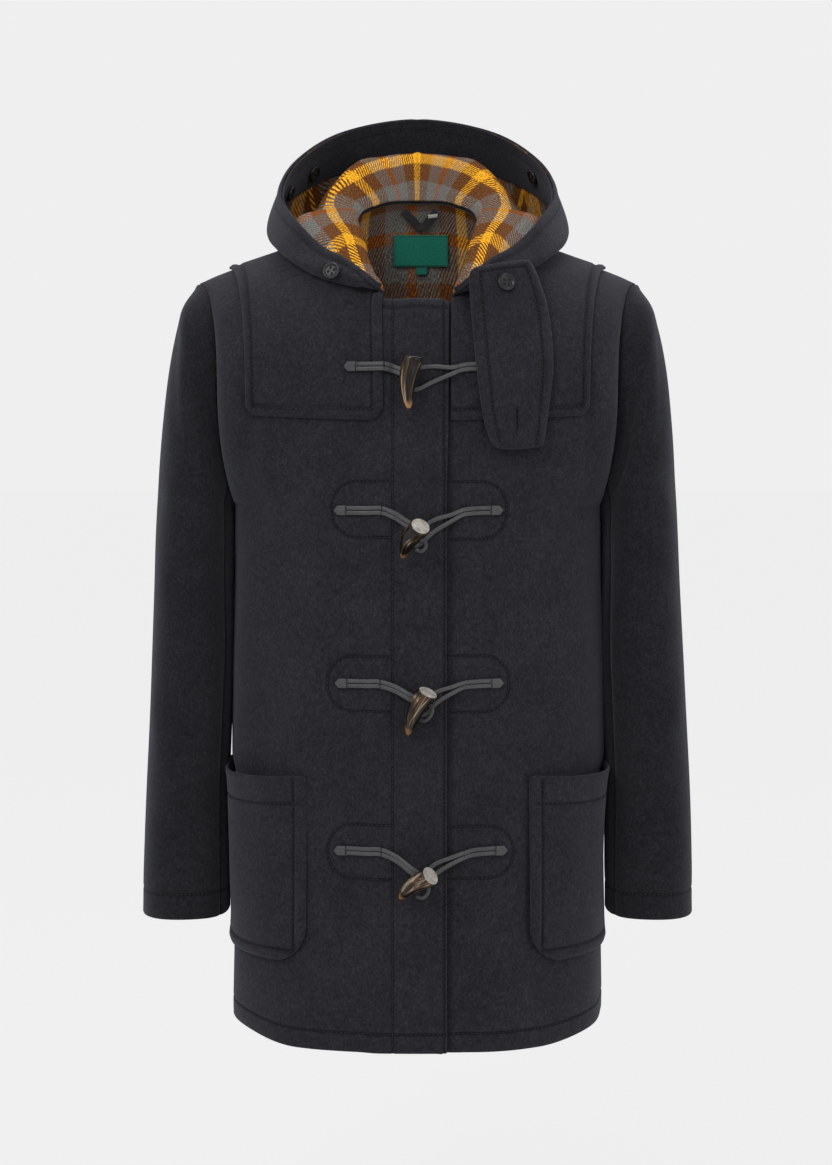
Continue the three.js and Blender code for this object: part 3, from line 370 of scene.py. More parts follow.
HOOD_STATIONS = [  # half, s, its crest, hang, bottom and belly where it has them, rim
    ("front", 0.11, [], (38, -115.2, -74.2)),
    ("front", 0.16, [(51, -105, -74), (53, -109, -74.5), (56, -112.5, -73), (57.5, -113.5, -67)],
     (55, -107, -58)),
    ("front", 0.21, [(63, -84, -50), (66, -94, -60), (70, -105, -71), (77, -110, -60)],
     (73, -97, -43)),
    ("front", 0.255, [(72, -46, -16), (88, -69, -27), (102, -92, -59), (113, -93, -50)],
     (98, -80, -28)),
    ("front", 0.3, [(98, -16, 5), (118, -40, -12), (130, -60, -39), (142, -57, -31)],
     (125, -50, 0)),
    ("back", 0.26, [(122, 10, 5), (134, 14, -10), (147, 17, -21), (159, 18, -4)],
     (146, 15, 33)),
    ("back", 0.2, [(86, 60, 46), (112, 86, 10), (130, 101, -58), (153, 104, 0)],
     (134, 85, 76)),
    ("back", 0.1, [(60, 84, 76), (74, 128, 5), (78, 152, -100), (104, 188, -5)],
     (84, 148, 117)),
    ("back", 0, [(0, 94, 84), (0, 138, 0), (0, 165, -112), (0, 220, -5)], (0, 182, 136)),
]
HOOD_STAND, HOOD_SEAM_GAP, HOOD_GROWTH = 10, 1.3, 1.4
FACING_WIDTH, FACING_SHARE, FACING_CLOTH = 48, 0.45, 2


def arc_lengths(points, axis=0):
    """Distances along lines of points, from the first point of each."""
    steps = np.linalg.norm(np.diff(points, axis=axis), axis=-1)
    return np.concatenate([0 * np.take(steps, [0], axis), np.cumsum(steps, axis=axis)], axis)


def points_at(at, lengths, points):
    return np.stack([np.interp(at, lengths, values) for values in points.T], -1)


def centripetal(points, count):
    """Points at even distances along the smooth curve through a few points."""
    points = np.asarray(points, float)
    extended = np.vstack([2 * points[0] - points[1], points, 2 * points[-1] - points[-2]])
    line = []
    for i in range(len(points) - 1):
        p = extended[i:i + 4]
        d = np.maximum(np.sqrt(np.linalg.norm(np.diff(p, axis=0), axis=1)), 1e-4)
        m1 = ((p[1] - p[0]) / d[0] - (p[2] - p[0]) / (d[0] + d[1]) + (p[2] - p[1]) / d[1]) * d[1]
        m2 = ((p[2] - p[1]) / d[1] - (p[3] - p[1]) / (d[1] + d[2]) + (p[3] - p[2]) / d[2]) * d[1]
        u = np.linspace(0, 1, 60, endpoint=i == len(points) - 2)[:, None]
        line.append(p[1] * (2 * u**3 - 3 * u**2 + 1) + m1 * (u**3 - 2 * u**2 + u)
                    + p[2] * (3 * u**2 - 2 * u**3) + m2 * (u**3 - u**2))
    line = np.vstack(line)
    lengths = arc_lengths(line)
    at = np.asarray(count) * lengths[-1] if np.ndim(count) else np.linspace(0, lengths[-1], count)
    return points_at(at, lengths, line), lengths[-1]


def hood_lines(rows_before, rows_facing):
    """Each station's line from the neck seam to the rim, with the facing's rows last."""
    lines = []
    for half, s, middle, rim in HOOD_STATIONS:
        seam = np.array([float(v) for v in top_edge(half, np.array(max(s, 1e-6)))])
        seam[0] = 0 if s == 0 else seam[0]
        normal = body_normal(half, np.array(float(s)), np.array(1 - SEAM_T))
        if s == 0:
            normal = unit(normal * np.array([0, 1, 1]))
        next_s = s - 0.01 if half == "front" else s + 0.01
        other = np.array([float(v) for v in top_edge(half, np.array(next_s))])
        inward = unit(np.cross(unit(other - seam), normal))
        if inward @ np.array([-seam[0], -seam[1], 60]) < 0:
            inward = -inward
        start = seam + inward * HOOD_SEAM_GAP
        if middle:
            points = [start, start + normal * HOOD_STAND, *middle, rim]
        else:
            points = [start, (start + np.array(rim)) / 2, rim]
        _, length = centripetal(points, 2)
        facing = min(FACING_WIDTH, FACING_SHARE * length)
        shares = [(length - facing) / length * (i / rows_before) ** HOOD_GROWTH
                  for i in range(rows_before + 1)]
        shares += [(length - facing + facing * i / rows_facing) / length
                   for i in range(1, rows_facing + 1)]
        lines.append(centripetal(points, np.minimum(shares, 1))[0])
    return np.stack(lines)


HOOD_FINE_ROWS, HOOD_FINE_FACING, HOOD_COLUMNS = 56, 16, 96


def hood_grid():
    lines = hood_lines(HOOD_FINE_ROWS, HOOD_FINE_FACING)
    lines = np.concatenate([lines, lines[-2:-1] * np.array([-1, 1, 1])])
    share = np.linspace(0, 1, HOOD_COLUMNS + 1) * (len(lines) - 2) / (len(lines) - 1)
    points = np.stack([on_rows(lines[:, None], np.full((1, lines.shape[1]), u))[0] for u in share])
    points[-1, :, 0] = 0.2
    aside = np.gradient(points, axis=0)
    along = np.gradient(points, axis=1)
    normal = unit(np.cross(aside, along))
    normal[-1] = unit(normal[-2] * np.array([0, 1, 1]))
    return points, normal


# Cloth shells

def refined(low, high, step, lines=(), near=3.0, fine=0.9):
    """Rising places from low to high, a step apart, and closer beside each of some lines."""
    places = list(np.linspace(low, high, max(2, int(round((high - low) / step)) + 1)))
    for line in lines:
        extra = [line + k * fine for k in range(-int(near / fine), int(near / fine) + 1)]
        places = [p for p in places if abs(p - line) > near + 0.3 * step or p in (low, high)]
        places += [e for e in extra if low < e < high]
    places = sorted(places)
    kept = [places[0]]
    for p in places[1:-1]:
        if p - kept[-1] > 0.3 * fine and high - p > 0.3 * fine:
            kept.append(p)
    return np.array(kept + [places[-1]])


def patch(points, normals, cloth, groove=None, free=None):
    shape = points.shape[:2]
    return {
        "p": points, "n": normals, "cloth": cloth,
        "groove": np.zeros(shape) if groove is None else np.broadcast_to(groove, shape),
        "free": np.zeros(shape) if free is None else np.broadcast_to(free, shape),
    }


def link(name, vertices, faces, material_list, face_material, point_data):
    mesh = bpy.data.meshes.new(name)
    vertices = np.asarray(vertices, np.float32) * MM
    mesh.vertices.add(len(vertices))
    mesh.vertices.foreach_set("co", vertices.ravel())
    faces = np.asarray(faces, np.int32)
    mesh.loops.add(faces.size)
    mesh.loops.foreach_set("vertex_index", faces.ravel())
    mesh.polygons.add(len(faces))
    mesh.polygons.foreach_set("loop_start", np.arange(0, faces.size, 4, dtype=np.int32))
    mesh.update(calc_edges=True)
    for material in material_list:
        mesh.materials.append(material)
    mesh.polygons.foreach_set("material_index", np.asarray(face_material, np.int32))
    mesh.polygons.foreach_set("use_smooth", np.full(len(faces), True))
    for key, values in point_data.items():
        values = np.asarray(values, np.float32)
        kind = "FLOAT" if values.ndim == 1 else "FLOAT_VECTOR"
        data = mesh.attributes.new(key, kind, "POINT").data
        data.foreach_set("value" if kind == "FLOAT" else "vector", values.ravel())
    mesh.validate()
    piece = add_object(name, mesh)
    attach(piece, "root")
    return piece


def shell(name, patches, thickness, slot, outer, inner=None, nodes=(), lined_edge=None):
    """Closed cloth from patches of points on its outer face that share edges, with round edges."""
    quads, offset = [], 0
    for p in patches:
        a = p["p"]
        rows, cols = a.shape[:2]
        index = np.arange(rows * cols).reshape(rows, cols) + offset
        offset += rows * cols
        mi, mj = rows // 2, cols // 2
        way = np.cross(a[mi, mj] - a[mi - 1, mj], a[mi, mj] - a[mi, mj - 1]) @ p["n"][mi, mj]
        quad = np.stack([index[:-1, :-1], index[1:, :-1], index[1:, 1:], index[:-1, 1:]], -1)
        quad = quad.reshape(-1, 4)
        quads.append(quad if way > 0 else quad[:, ::-1])

    def every(key):
        return np.concatenate([p[key].reshape(-1, *p[key].shape[2:]) for p in patches])

    points, normals = every("p"), every("n")
    quads = np.concatenate(quads)
    _, first, back = np.unique(np.round(points / 0.02).astype(np.int64), axis=0,
                               return_index=True, return_inverse=True)
    back = back.ravel()
    summed = np.zeros((len(first), 3))
    np.add.at(summed, back, normals)
    points, normals = points[first], unit(summed)
    cloth, groove, free = every("cloth")[first], every("groove")[first], every("free")[first]
    quads = back[quads]
    n = len(points)
    edges = np.concatenate([quads[:, [k, (k + 1) % 4]] for k in range(4)])
    edges = edges[edges[:, 0] != edges[:, 1]]
    key = edges.min(1).astype(np.int64) * n + edges.max(1)
    _, where, uses = np.unique(key, return_index=True, return_counts=True)
    rim = edges[where[uses == 1]]
    out = np.zeros((n, 3))
    way = np.cross(unit(points[rim[:, 1]] - points[rim[:, 0]]), normals[rim[:, 0]])
    np.add.at(out, rim[:, 0], way)
    np.add.at(out, rim[:, 1], way)
    used = np.unique(rim)
    out = unit(out[used])
    half = thickness / 2
    centre = points[used] - normals[used] * half
    bulge = lerp(0.12, 0.85, free[used])[:, None] * half
    rings = [centre + normals[used] * half * math.cos(a) + out * bulge * math.sin(a)
             for a in (math.pi / 4, math.pi / 2, 3 * math.pi / 4)]
    number = np.full(n, -1)
    number[used] = np.arange(len(used))
    levels = [rim, *[number[rim] + 2 * n + k * len(used) for k in range(3)], rim + n]
    rims = [np.stack([a[:, 1], a[:, 0], b[:, 0], b[:, 1]], -1)
            for a, b in zip(levels[:-1], levels[1:])]
    vertices = np.concatenate([points, points - normals * thickness, *rings])
    faces = np.concatenate([quads, quads[:, ::-1] + n, *rims])
    lined = np.zeros(len(rim)) if lined_edge is None else lined_edge(points[rim[:, 0]])
    kinds = np.concatenate([np.zeros(len(quads)), np.ones(len(quads)), *[lined] * len(rims)])
    # The groove value is kept on the outer face only; the melton and the label paint it as shade.
    data = {
        "cloth": np.concatenate([cloth, cloth, *[cloth[used]] * 3]),
        "groove": np.concatenate([groove, groove * 0, *[groove[used] * 0] * 3]),
    }
    piece = link(name, vertices, faces, [outer, inner or outer], kinds, data)
    if nodes:
        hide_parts(*nodes)
    return piece


def mirrored(values, side):
    return values * np.array([side, 1, 1])


def sided_shell(node, side, parts, finish, thickness=CLOTH, lined_edge=None):
    """One node's shell on its own side, from points, normals, cloth, groove and free edge."""
    p, n, *rest = parts
    cloth_patch = patch(mirrored(p, side), mirrored(n, side), *rest)
    return shell(f"{node}_cloth", [cloth_patch], thickness, *finish, [node], lined_edge)


def sew_sided(key, side, points, normals):
    sew(key, mirrored(points, side), mirrored(normals, side))


def nearest(values, place):
    return int(np.argmin(np.abs(values - place)))


def rounded_corner(a, b, radius):
    """Distances a and b from two edges, moved so that their corner becomes round."""
    u, v = np.clip(1 - a / radius, 0, 1), np.clip(1 - b / radius, 0, 1)
    new_a = np.where(a < radius, radius * (1 - u * np.sqrt(1 - v**2 / 2)), a)
    new_b = np.where(b < radius, radius * (1 - v * np.sqrt(1 - u**2 / 2)), b)
    return new_a, new_b


def bell(distance, width):
    """1 on a line, falling softly to 0 beside it."""
    return np.exp(-((distance / width) ** 2))


def crease(u, v, start, end, depth, width):
    """A soft trough (negative depth) or ridge along a line in two flat coordinates."""
    start, end = np.array(start, float), np.array(end, float)
    way = end - start
    length = np.linalg.norm(way)
    way = way / length
    along = (u - start[0]) * way[0] + (v - start[1]) * way[1]
    aside = (u - start[0]) * -way[1] + (v - start[1]) * way[0]
    fade = smooth(along, -0.35 * length, 0.25 * length) * (
        1 - smooth(along, 0.75 * length, 1.35 * length))
    return depth * fade * np.exp(-((aside / width) ** 2))


# Materials

class Paint:
    """A material made from shader nodes, with short calls for the nodes used here."""

    def __init__(self, name, roughness=0.9, sheen=0.0, specular=0.3):
        self.material = bpy.data.materials.new(name)
        self.material.use_nodes = True
        self.tree = self.material.node_tree
        self.shader = self.tree.nodes["Principled BSDF"]
        self.shader.inputs["Roughness"].default_value = roughness
        self.shader.inputs["Specular IOR Level"].default_value = specular
        if sheen:
            self.shader.inputs["Sheen Weight"].default_value = sheen
            self.shader.inputs["Sheen Roughness"].default_value = 0.5
            self.shader.inputs["Sheen Tint"].default_value = (0.75, 0.78, 0.9, 1)

    def put(self, socket, value):
        if isinstance(value, bpy.types.NodeSocket):
            self.tree.links.new(value, socket)
        elif hasattr(socket.default_value, "__len__") and not hasattr(value, "__len__"):
            socket.default_value = (value,) * len(socket.default_value)
        else:
            socket.default_value = value

    def node(self, kind, **inputs):
        node = self.tree.nodes.new(kind)
        for name, value in inputs.items():
            self.put(node.inputs[name.replace("_", " ")], value)
        return node

    def math(self, operation, a, b=0.0, clamp=False):
        node = self.tree.nodes.new("ShaderNodeMath")
        node.operation = operation
        node.use_clamp = clamp
        self.put(node.inputs[0], a)
        self.put(node.inputs[1], b)
        return node.outputs[0]

    def times(self, a, b, clamp=False):
        return self.math("MULTIPLY", a, b, clamp)

    def plus(self, a, b, clamp=False):
        return self.math("ADD", a, b, clamp)

    def where(self):
        return self.tree.nodes.new("ShaderNodeTexCoord").outputs["Object"]

    def scaled(self, vector, x, y, z):
        node = self.tree.nodes.new("ShaderNodeMapping")
        self.put(node.inputs["Vector"], vector)
        node.inputs["Scale"].default_value = (x, y, z)
        return node.outputs[0]

    def noise(self, vector, scale, detail=3.0, roughness=0.6, distortion=0.0):
        node = self.node("ShaderNodeTexNoise", Vector=vector, Scale=scale, Detail=detail,
                         Roughness=roughness, Distortion=distortion)
        return node.outputs["Fac"]

    def data(self, name):
        node = self.tree.nodes.new("ShaderNodeAttribute")
        node.attribute_name = name
        return node

    # The groove value: painted shade in stitched grooves, slits and strap undersides, and the pale
    # sawn end for the horn.
    def groove(self):
        return self.data("groove").outputs["Fac"]

    def cloth(self):
        return self.data("cloth").outputs["Vector"]

    def ramp(self, value, stops):
        node = self.tree.nodes.new("ShaderNodeValToRGB")
        self.put(node.inputs[0], value)
        elements = node.color_ramp.elements
        while len(elements) < len(stops):
            elements.new(0.5)
        for element, (position, color) in zip(elements, stops):
            element.position = position
            element.color = (*color, 1)
        return node.outputs["Color"]

    def mix(self, share, a, b, blend="MIX"):
        node = self.tree.nodes.new("ShaderNodeMix")
        node.data_type = "RGBA"
        node.blend_type = blend
        for index, value in ((0, share), (6, a), (7, b)):
            if isinstance(value, tuple) and len(value) == 3:
                value = (*value, 1)
            self.put(node.inputs[index], value)
        return node.outputs[2]

    def bump(self, height, strength, distance):
        node = self.node("ShaderNodeBump", Height=height)
        node.inputs["Strength"].default_value = strength
        node.inputs["Distance"].default_value = distance
        self.tree.links.new(node.outputs[0], self.shader.inputs["Normal"])

    def color(self, value):
        self.put(self.shader.inputs["Base Color"], value)


def tinted(color, strength):
    return tuple(c * strength for c in color)


def melton(name, base, speck=1.0):
    """Heavy felted wool: short matted fibres over a faint twill, with painted shade in its stitched
    grooves.
    """
    paint = Paint(name, roughness=0.95, sheen=0.12, specular=0.1)
    where = paint.where()
    fibres = paint.noise(paint.scaled(where, 900, 900, 620), 1.0, 4, 0.7, 0.6)
    streaks = paint.noise(paint.scaled(where, 430, 430, 290), 1.0, 2, 0.6)
    patches = paint.noise(where, 22, 3, 0.55)
    hairs = paint.noise(paint.scaled(where, 1500, 1500, 900), 1.0, 2, 0.8, 1.5)
    clouds = paint.noise(where, 150, 3, 0.6)
    color = paint.ramp(paint.plus(paint.times(fibres, 0.6), paint.times(streaks, 0.4)),
                       [(0.33, tinted(base, 0.4)), (0.52, base), (0.7, tinted(base, 1.9))])
    fleck = paint.times(paint.math("GREATER_THAN", hairs, 0.68), 0.25 * speck)
    color = paint.mix(fleck, color, tinted(base, 3.2))
    shade = paint.ramp(patches, [(0.3, (0.86, 0.86, 0.88)), (0.7, (1.12, 1.12, 1.1))])
    color = paint.mix(1.0, color, shade, "MULTIPLY")
    mottle = paint.ramp(clouds, [(0.3, (0.80, 0.80, 0.81)), (0.7, (1.2, 1.2, 1.2))])
    color = paint.mix(1.0, color, mottle, "MULTIPLY")
    # Painted shade: the cloth darkens where the groove value marks a stitched groove or slit, as the
    # recess falls into shade.
    groove = paint.times(paint.groove(), 0.8, clamp=True)
    color = paint.mix(groove, color, tinted(base, 0.18))
    paint.color(color)
    paint.bump(paint.plus(paint.times(fibres, 0.7), paint.times(streaks, 0.5)), 0.55, 0.0011)
    return paint.material


CHECK_REPEAT = 0.110
YELLOW, BROWN, GREY, RUST = ((0.90, 0.42, 0.024), (0.150, 0.058, 0.020), (0.175, 0.168, 0.155),
                             (0.34, 0.095, 0.020))
CHECK_SETT = [(0.0, YELLOW), (0.055, BROWN), (0.235, GREY), (0.455, RUST), (0.545, GREY),
              (0.765, BROWN), (0.945, YELLOW)]
CHECK_EDGE, TWILL_SLOPE, TWILL_REPEAT = 0.012, 0.6, 0.0034


def checked():
    """Wool check: two sets of stripes crossing in a coarse slanting twill, heathered."""
    paint = Paint("check", roughness=1.0, sheen=0.0, specular=0.04)
    cloth = paint.cloth()
    wobble = paint.node("ShaderNodeTexNoise", Vector=paint.scaled(cloth, 260, 260, 1), Scale=1.0,
                        Detail=2.0).outputs["Color"]
    shift = paint.tree.nodes.new("ShaderNodeVectorMath")
    shift.operation = "MULTIPLY_ADD"
    paint.put(shift.inputs[0], wobble)
    shift.inputs[1].default_value = (0.0016, 0.0016, 0)
    paint.put(shift.inputs[2], cloth)
    parts = paint.node("ShaderNodeSeparateXYZ", Vector=shift.outputs[0])
    stops = []
    for (position, color), (_, before) in zip(CHECK_SETT, [CHECK_SETT[-1], *CHECK_SETT[:-1]]):
        if position > 0:
            stops.append((position - CHECK_EDGE / 2, before))
            stops.append((position + CHECK_EDGE / 2, color))
        else:
            stops.append((0.0, color))
    sets = [paint.ramp(paint.math("FRACT", paint.math("DIVIDE", parts.outputs[k], CHECK_REPEAT)),
                       stops) for k in (0, 1)]
    slanted = paint.math("SUBTRACT", parts.outputs[0], paint.times(parts.outputs[1], TWILL_SLOPE))
    twill = paint.math("FRACT", paint.math("DIVIDE", slanted, TWILL_REPEAT))
    wave = paint.math("SINE", paint.times(twill, 2 * math.pi))
    over = paint.plus(paint.times(wave, 0.85), 0.5, clamp=True)
    color = paint.mix(over, sets[0], sets[1])
    heather = paint.noise(paint.scaled(cloth, 760, 500, 1), 1.0, 3, 0.8)
    light = paint.ramp(heather, [(0.32, (0.30, 0.30, 0.31)), (0.5, (0.85, 0.85, 0.85)),
                                 (0.68, (2.0, 1.95, 1.85))])
    color = paint.mix(1.0, color, light, "MULTIPLY")
    ridge = paint.ramp(wave, [(0.0, (0.86, 0.86, 0.86)), (1.0, (1.12, 1.12, 1.12))])
    color = paint.mix(1.0, color, ridge, "MULTIPLY")
    paint.color(color)
    paint.bump(paint.plus(paint.times(over, 0.5), paint.times(heather, 0.9)), 0.6, 0.0012)
    return paint.material


def leather():
    paint = Paint("leather", roughness=0.45, specular=0.4)
    where = paint.where()
    grain = paint.noise(where, 900, 4, 0.65)
    wear = paint.noise(where, 90, 2, 0.5)
    color = paint.ramp(grain, [(0.35, (0.014, 0.014, 0.015)), (0.65, (0.042, 0.042, 0.045))])
    color = paint.mix(paint.times(wear, 0.4), color, (0.105, 0.105, 0.11))
    # Painted shade: the strap darkens towards its back face, the side that lies against the coat.
    edge = paint.times(paint.groove(), 0.85, clamp=True)
    paint.color(paint.mix(edge, color, (0.006, 0.006, 0.007)))
    paint.bump(grain, 0.35, 0.0004)
    return paint.material


def horn():
    """Polished horn: dark with amber streaks along it, the brightest of them partly painted
    highlight, a pale sawn end and an amber tip.
    """
    paint = Paint("horn", roughness=0.13, specular=0.22)
    cloth = paint.cloth()
    streak_and_highlight = paint.noise(paint.scaled(cloth, 3.2, 1.1, 1.6), 1.0, 4, 0.6, 0.8)
    # The darker streak stops are the horn's own; the brightest stop is partly painted highlight, for
    # glints on the polished horn.
    color = paint.ramp(streak_and_highlight, [(0.36, (0.004, 0.003, 0.003)), (0.52, (0.012, 0.008, 0.005)),
                                (0.60, (0.070, 0.040, 0.020)), (0.68, (0.34, 0.26, 0.18))])
    along = paint.node("ShaderNodeSeparateXYZ", Vector=cloth).outputs[1]
    mottle = paint.noise(paint.where(), 160, 3, 0.6)
    reach = paint.plus(along, paint.times(mottle, 0.25))
    tip = paint.times(paint.math("SUBTRACT", reach, 0.93), 5.0, clamp=True)
    color = paint.mix(tip, color, (0.34, 0.17, 0.07))
    sawn = paint.groove()
    rings = paint.ramp(mottle, [(0.3, (0.20, 0.18, 0.155)), (0.7, (0.42, 0.40, 0.37))])
    paint.color(paint.mix(sawn, color, rings))
    paint.bump(streak_and_highlight, 0.12, 0.0006)
    return paint.material


def shiny_black():
    paint = Paint("button_black", roughness=0.25, specular=0.32)
    swirl = paint.noise(paint.where(), 260, 3, 0.6, 1.2)
    paint.color(paint.ramp(swirl, [(0.3, (0.003, 0.003, 0.004)), (0.7, (0.012, 0.012, 0.014))]))
    paint.bump(swirl, 0.08, 0.0003)
    return paint.material


LABEL_RIB = 0.0007


def woven_label():
    paint = Paint("label_weave", roughness=0.7, sheen=0.2, specular=0.3)
    where = paint.where()
    parts = paint.node("ShaderNodeSeparateXYZ", Vector=where)
    rib = paint.math("SINE", paint.times(parts.outputs[2], 2 * math.pi / LABEL_RIB))
    fleck = paint.noise(paint.scaled(where, 1500, 1500, 500), 1.0, 2, 0.6)
    color = paint.ramp(fleck, [(0.3, (0.001, 0.135, 0.092)), (0.7, (0.006, 0.235, 0.160))])
    # Painted shade in the slight groove just inside the label's border.
    edge = paint.times(paint.groove(), 0.7, clamp=True)
    paint.color(paint.mix(edge, color, (0.0, 0.045, 0.032)))
    paint.bump(rib, 0.3, 0.0003)
    return paint.material


def thread(name, color):
    paint = Paint(name, roughness=0.6, specular=0.35)
    ply = paint.noise(paint.where(), 1800, 2, 0.6)
    paint.color(paint.ramp(ply, [(0.3, tinted(color, 0.6)), (0.7, color)]))
    return paint.material


def tape():
    paint = Paint("tape", roughness=0.75, sheen=0.2, specular=0.3)
    weave = paint.noise(paint.scaled(paint.where(), 1400, 1400, 1400), 1.0, 2, 0.6)
    paint.color(paint.ramp(weave, [(0.3, (0.006, 0.006, 0.007)), (0.7, (0.022, 0.022, 0.025))]))
    paint.bump(weave, 0.3, 0.0004)
    return paint.material


NAVY = (0.0165, 0.0160, 0.0195)
MELTON = melton("melton", NAVY)
# Painted shade: the sleeves get a darker copy of the same melton, so they read darker than the body
# as if in shade.
SHADED_SLEEVE_MELTON = melton("melton_sleeve", tinted(NAVY, 0.74))
FACING = melton("melton_facing", tinted(NAVY, 0.9), 0.7)
CHECK = checked()
LEATHER = leather()
HORN = horn()
BLACK = shiny_black()
LABEL = woven_label()
TAPE = tape()
NAVY_THREAD = thread("navy_thread", (0.020, 0.020, 0.025))
BLACK_THREAD = thread("black_thread", (0.004, 0.004, 0.005))
PALE_TAPE = thread("pale_tape", (0.62, 0.62, 0.60))
CHECKED_WOOL, PLAIN_WOOL = ("melton", MELTON, CHECK), ("melton", MELTON, None)


# Sewing

THREADS = {}
STITCH_LIFT, STITCH_SINK = 0.15, 0.25


def sew(key, points, normals, pitch=4.4, length=3.3, radius=0.38):
    """Single thread stitches along a line of points on a surface; they are joined up later."""
    points, normals = np.asarray(points, float), np.asarray(normals, float)
    along = arc_lengths(points)
    starts = np.arange(0.4, along[-1] - length, pitch)
    if not len(starts):
        return
    a, b = points_at(starts, along, points), points_at(starts + length, along, points)
    n = unit(points_at(starts + length / 2, along, normals))
    way = unit(b - a)
    side = unit(np.cross(way, n))
    middle = (a + b) / 2 + n * (STITCH_LIFT + radius * 0.6)
    a, b = a - n * STITCH_SINK, b - n * STITCH_SINK
    ring = [side * radius, n * radius, -side * radius, -n * radius]
    vertices = np.stack([*(a + r * 0.7 for r in ring), *(middle + r for r in ring),
                         *(b + r * 0.7 for r in ring)], 1)
    quads = [(k + i, k + (i + 1) % 4, k + 4 + (i + 1) % 4, k + 4 + i) for k in (0, 4)
             for i in range(4)] + [(3, 2, 1, 0), (8, 9, 10, 11)]
    THREADS.setdefault(key, []).append((vertices, np.array(quads)))


def make_threads(key, name, material, slot):
    vertices, faces, count = [], [], 0
    for block, quads in THREADS[key]:
        n = len(block)
        vertices.append(block.reshape(-1, 3))
        index = quads[None] + (np.arange(n) * 12)[:, None, None] + count
        faces.append(index.reshape(-1, 4))
        count += n * 12
    faces = np.concatenate(faces)
    piece = link(name, np.concatenate(vertices), faces, [material], np.zeros(len(faces)), {})
    return piece


# Body panels

HEM_STITCH, NECK_STITCH, NECK_STITCH_END_S = 17.5, 8.5, 0.125
FINE_START_S, FINE_END_S, FINE_STEP_S, QUICK_STEP_S = 0.07, 0.335, 0.0048, 0.0095
LAP_CORNER_ROUND = 9
LAP_EDGE_STITCH_X, LAP_INNER_STITCH_X = -25.6, 24.6
PLACKET_ROWS = {  # patch outlines beside the toggles: outer reach, top, bottom, on each side
    RIGHT: [(84.5, -264.5, -319.5), (88.5, -436.5, -490.5), (88.5, -602.5, -656.5)],
    LEFT: [(87.5, -265.0, -321.5), (90.0, -436.0, -491.5), (94.5, -604.5, -656.0)],
}
PLACKET_ROUND, PLACKET_HALF_LENGTH, FAR_OFF = 25, 120, 99
LEFT_PATCH_START_X, LEFT_SEWN_START_X = 20, 36


def placket_distance(side, x, z):
    """Distance from the nearest stitched half-round patch outline, in the front's own x and z."""
    nearest = np.full(np.broadcast(x, z).shape, float(FAR_OFF))
    start = LAP_INNER_STITCH_X if side == RIGHT else LEFT_PATCH_START_X
    for reach, top, bottom in PLACKET_ROWS[side]:
        cx, cz = (reach - PLACKET_HALF_LENGTH) / 2, (top + bottom) / 2
        qx = np.abs(x - cx) - ((reach + PLACKET_HALF_LENGTH) / 2 - PLACKET_ROUND)
        qz = np.abs(z - cz) - ((top - bottom) / 2 - PLACKET_ROUND)
        outside = np.hypot(np.maximum(qx, 0), np.maximum(qz, 0))
        d = np.abs(outside + np.minimum(np.maximum(qx, qz), 0) - PLACKET_ROUND)
        nearest = np.where(x > start, np.minimum(nearest, d), nearest)
    return nearest


def placket_lines(side):
    for reach, top, bottom in PLACKET_ROWS[side]:
        start = LAP_INNER_STITCH_X if side == RIGHT else LEFT_SEWN_START_X
        r = PLACKET_ROUND
        angles = np.linspace(0, math.pi / 2, 14)
        upper = [(start, top), *[(reach - r + r * math.sin(a), top - r + r * math.cos(a))
                                 for a in angles]]
        lower = [(reach - r + r * math.cos(a), bottom + r - r * math.sin(a)) for a in angles]
        line = np.array(upper + lower + [(start, bottom)])
        lengths = arc_lengths(line)
        yield points_at(np.arange(0, lengths[-1], 1.5), lengths, line)


FRONT_CREASES = [  # own x, z to x, z, depth, width
    (158, -150, 172, -250, -3.2, 9), (170, -250, 150, -330, -2.0, 12),
    (120, -250, 150, -420, -1.6, 22), (70, -700, 62, -815, 1.8, 20),
    (112, -640, 120, -815, -2.2, 22), (45, -330, 60, -430, -0.9, 16),
    (100, -500, 108, -600, 1.2, 22), (150, -480, 160, -560, -1.5, 18),
]
BACK_CREASES = [
    (150, -150, 170, -260, -3.0, 10), (172, -250, 140, -350, -2.2, 13),
    (60, -420, 75, -815, 2.2, 30), (120, -500, 126, -815, -2.4, 26),
    (0, -330, 0, -780, -1.6, 34), (40, -240, 90, -280, -1.2, 16),
]


HEM_DROP, SIDE_FILL, SLEEVE_FILL = 10.0, 4.5, 6.0
UPPER_LENGTH = 285


def body_relief(half, side, s, t, p):
    """Soft hollows and swells of the cloth, fading to nothing at the seams."""
    x, z = p[..., 0], p[..., 2]
    rows = FRONT_CREASES if half == "front" else BACK_CREASES
    u = s * MM_PER_S if half == "back" else x
    total = 0 * x
    for k, (x0, z0, x1, z1, depth, width) in enumerate(rows):
        lean = 1.0 if side == RIGHT else 0.8 + 0.07 * (k % 3)
        total = total + lean * crease(u, z, (x0 + 4 * (side + 1), z0), (x1, z1), depth, width)
    wave = 1.1 * np.sin(s * 17 + side + z / 190) * (1 - smooth(z, -420, -250))
    fade = smooth(1 - s, 0.0, 0.12) * smooth(1 - t, 0.0, 0.05) * smooth(np.abs(x), 30, 60)
    return (total + wave) * fade


def settle(p):
    """The worn coat's hem hangs a little lower in front, and its sides fill out to the sleeves."""
    x, z = np.abs(p[..., 0]), p[..., 2]
    drop = HEM_DROP * (1 - smooth(z, HEM_Z, HEM_Z + 110)) * (1 - smooth(x, 120, 200))
    fill = SIDE_FILL * between_sleeves(z) * smooth(x, 150, 195)
    return p + np.stack([np.sign(p[..., 0]) * fill, 0 * z, -drop], -1)


def below_armpit(z):
    return 0.4 * (1 - smooth(z, -330, -275)) + 0.6 * (1 - smooth(z, -455, -350))


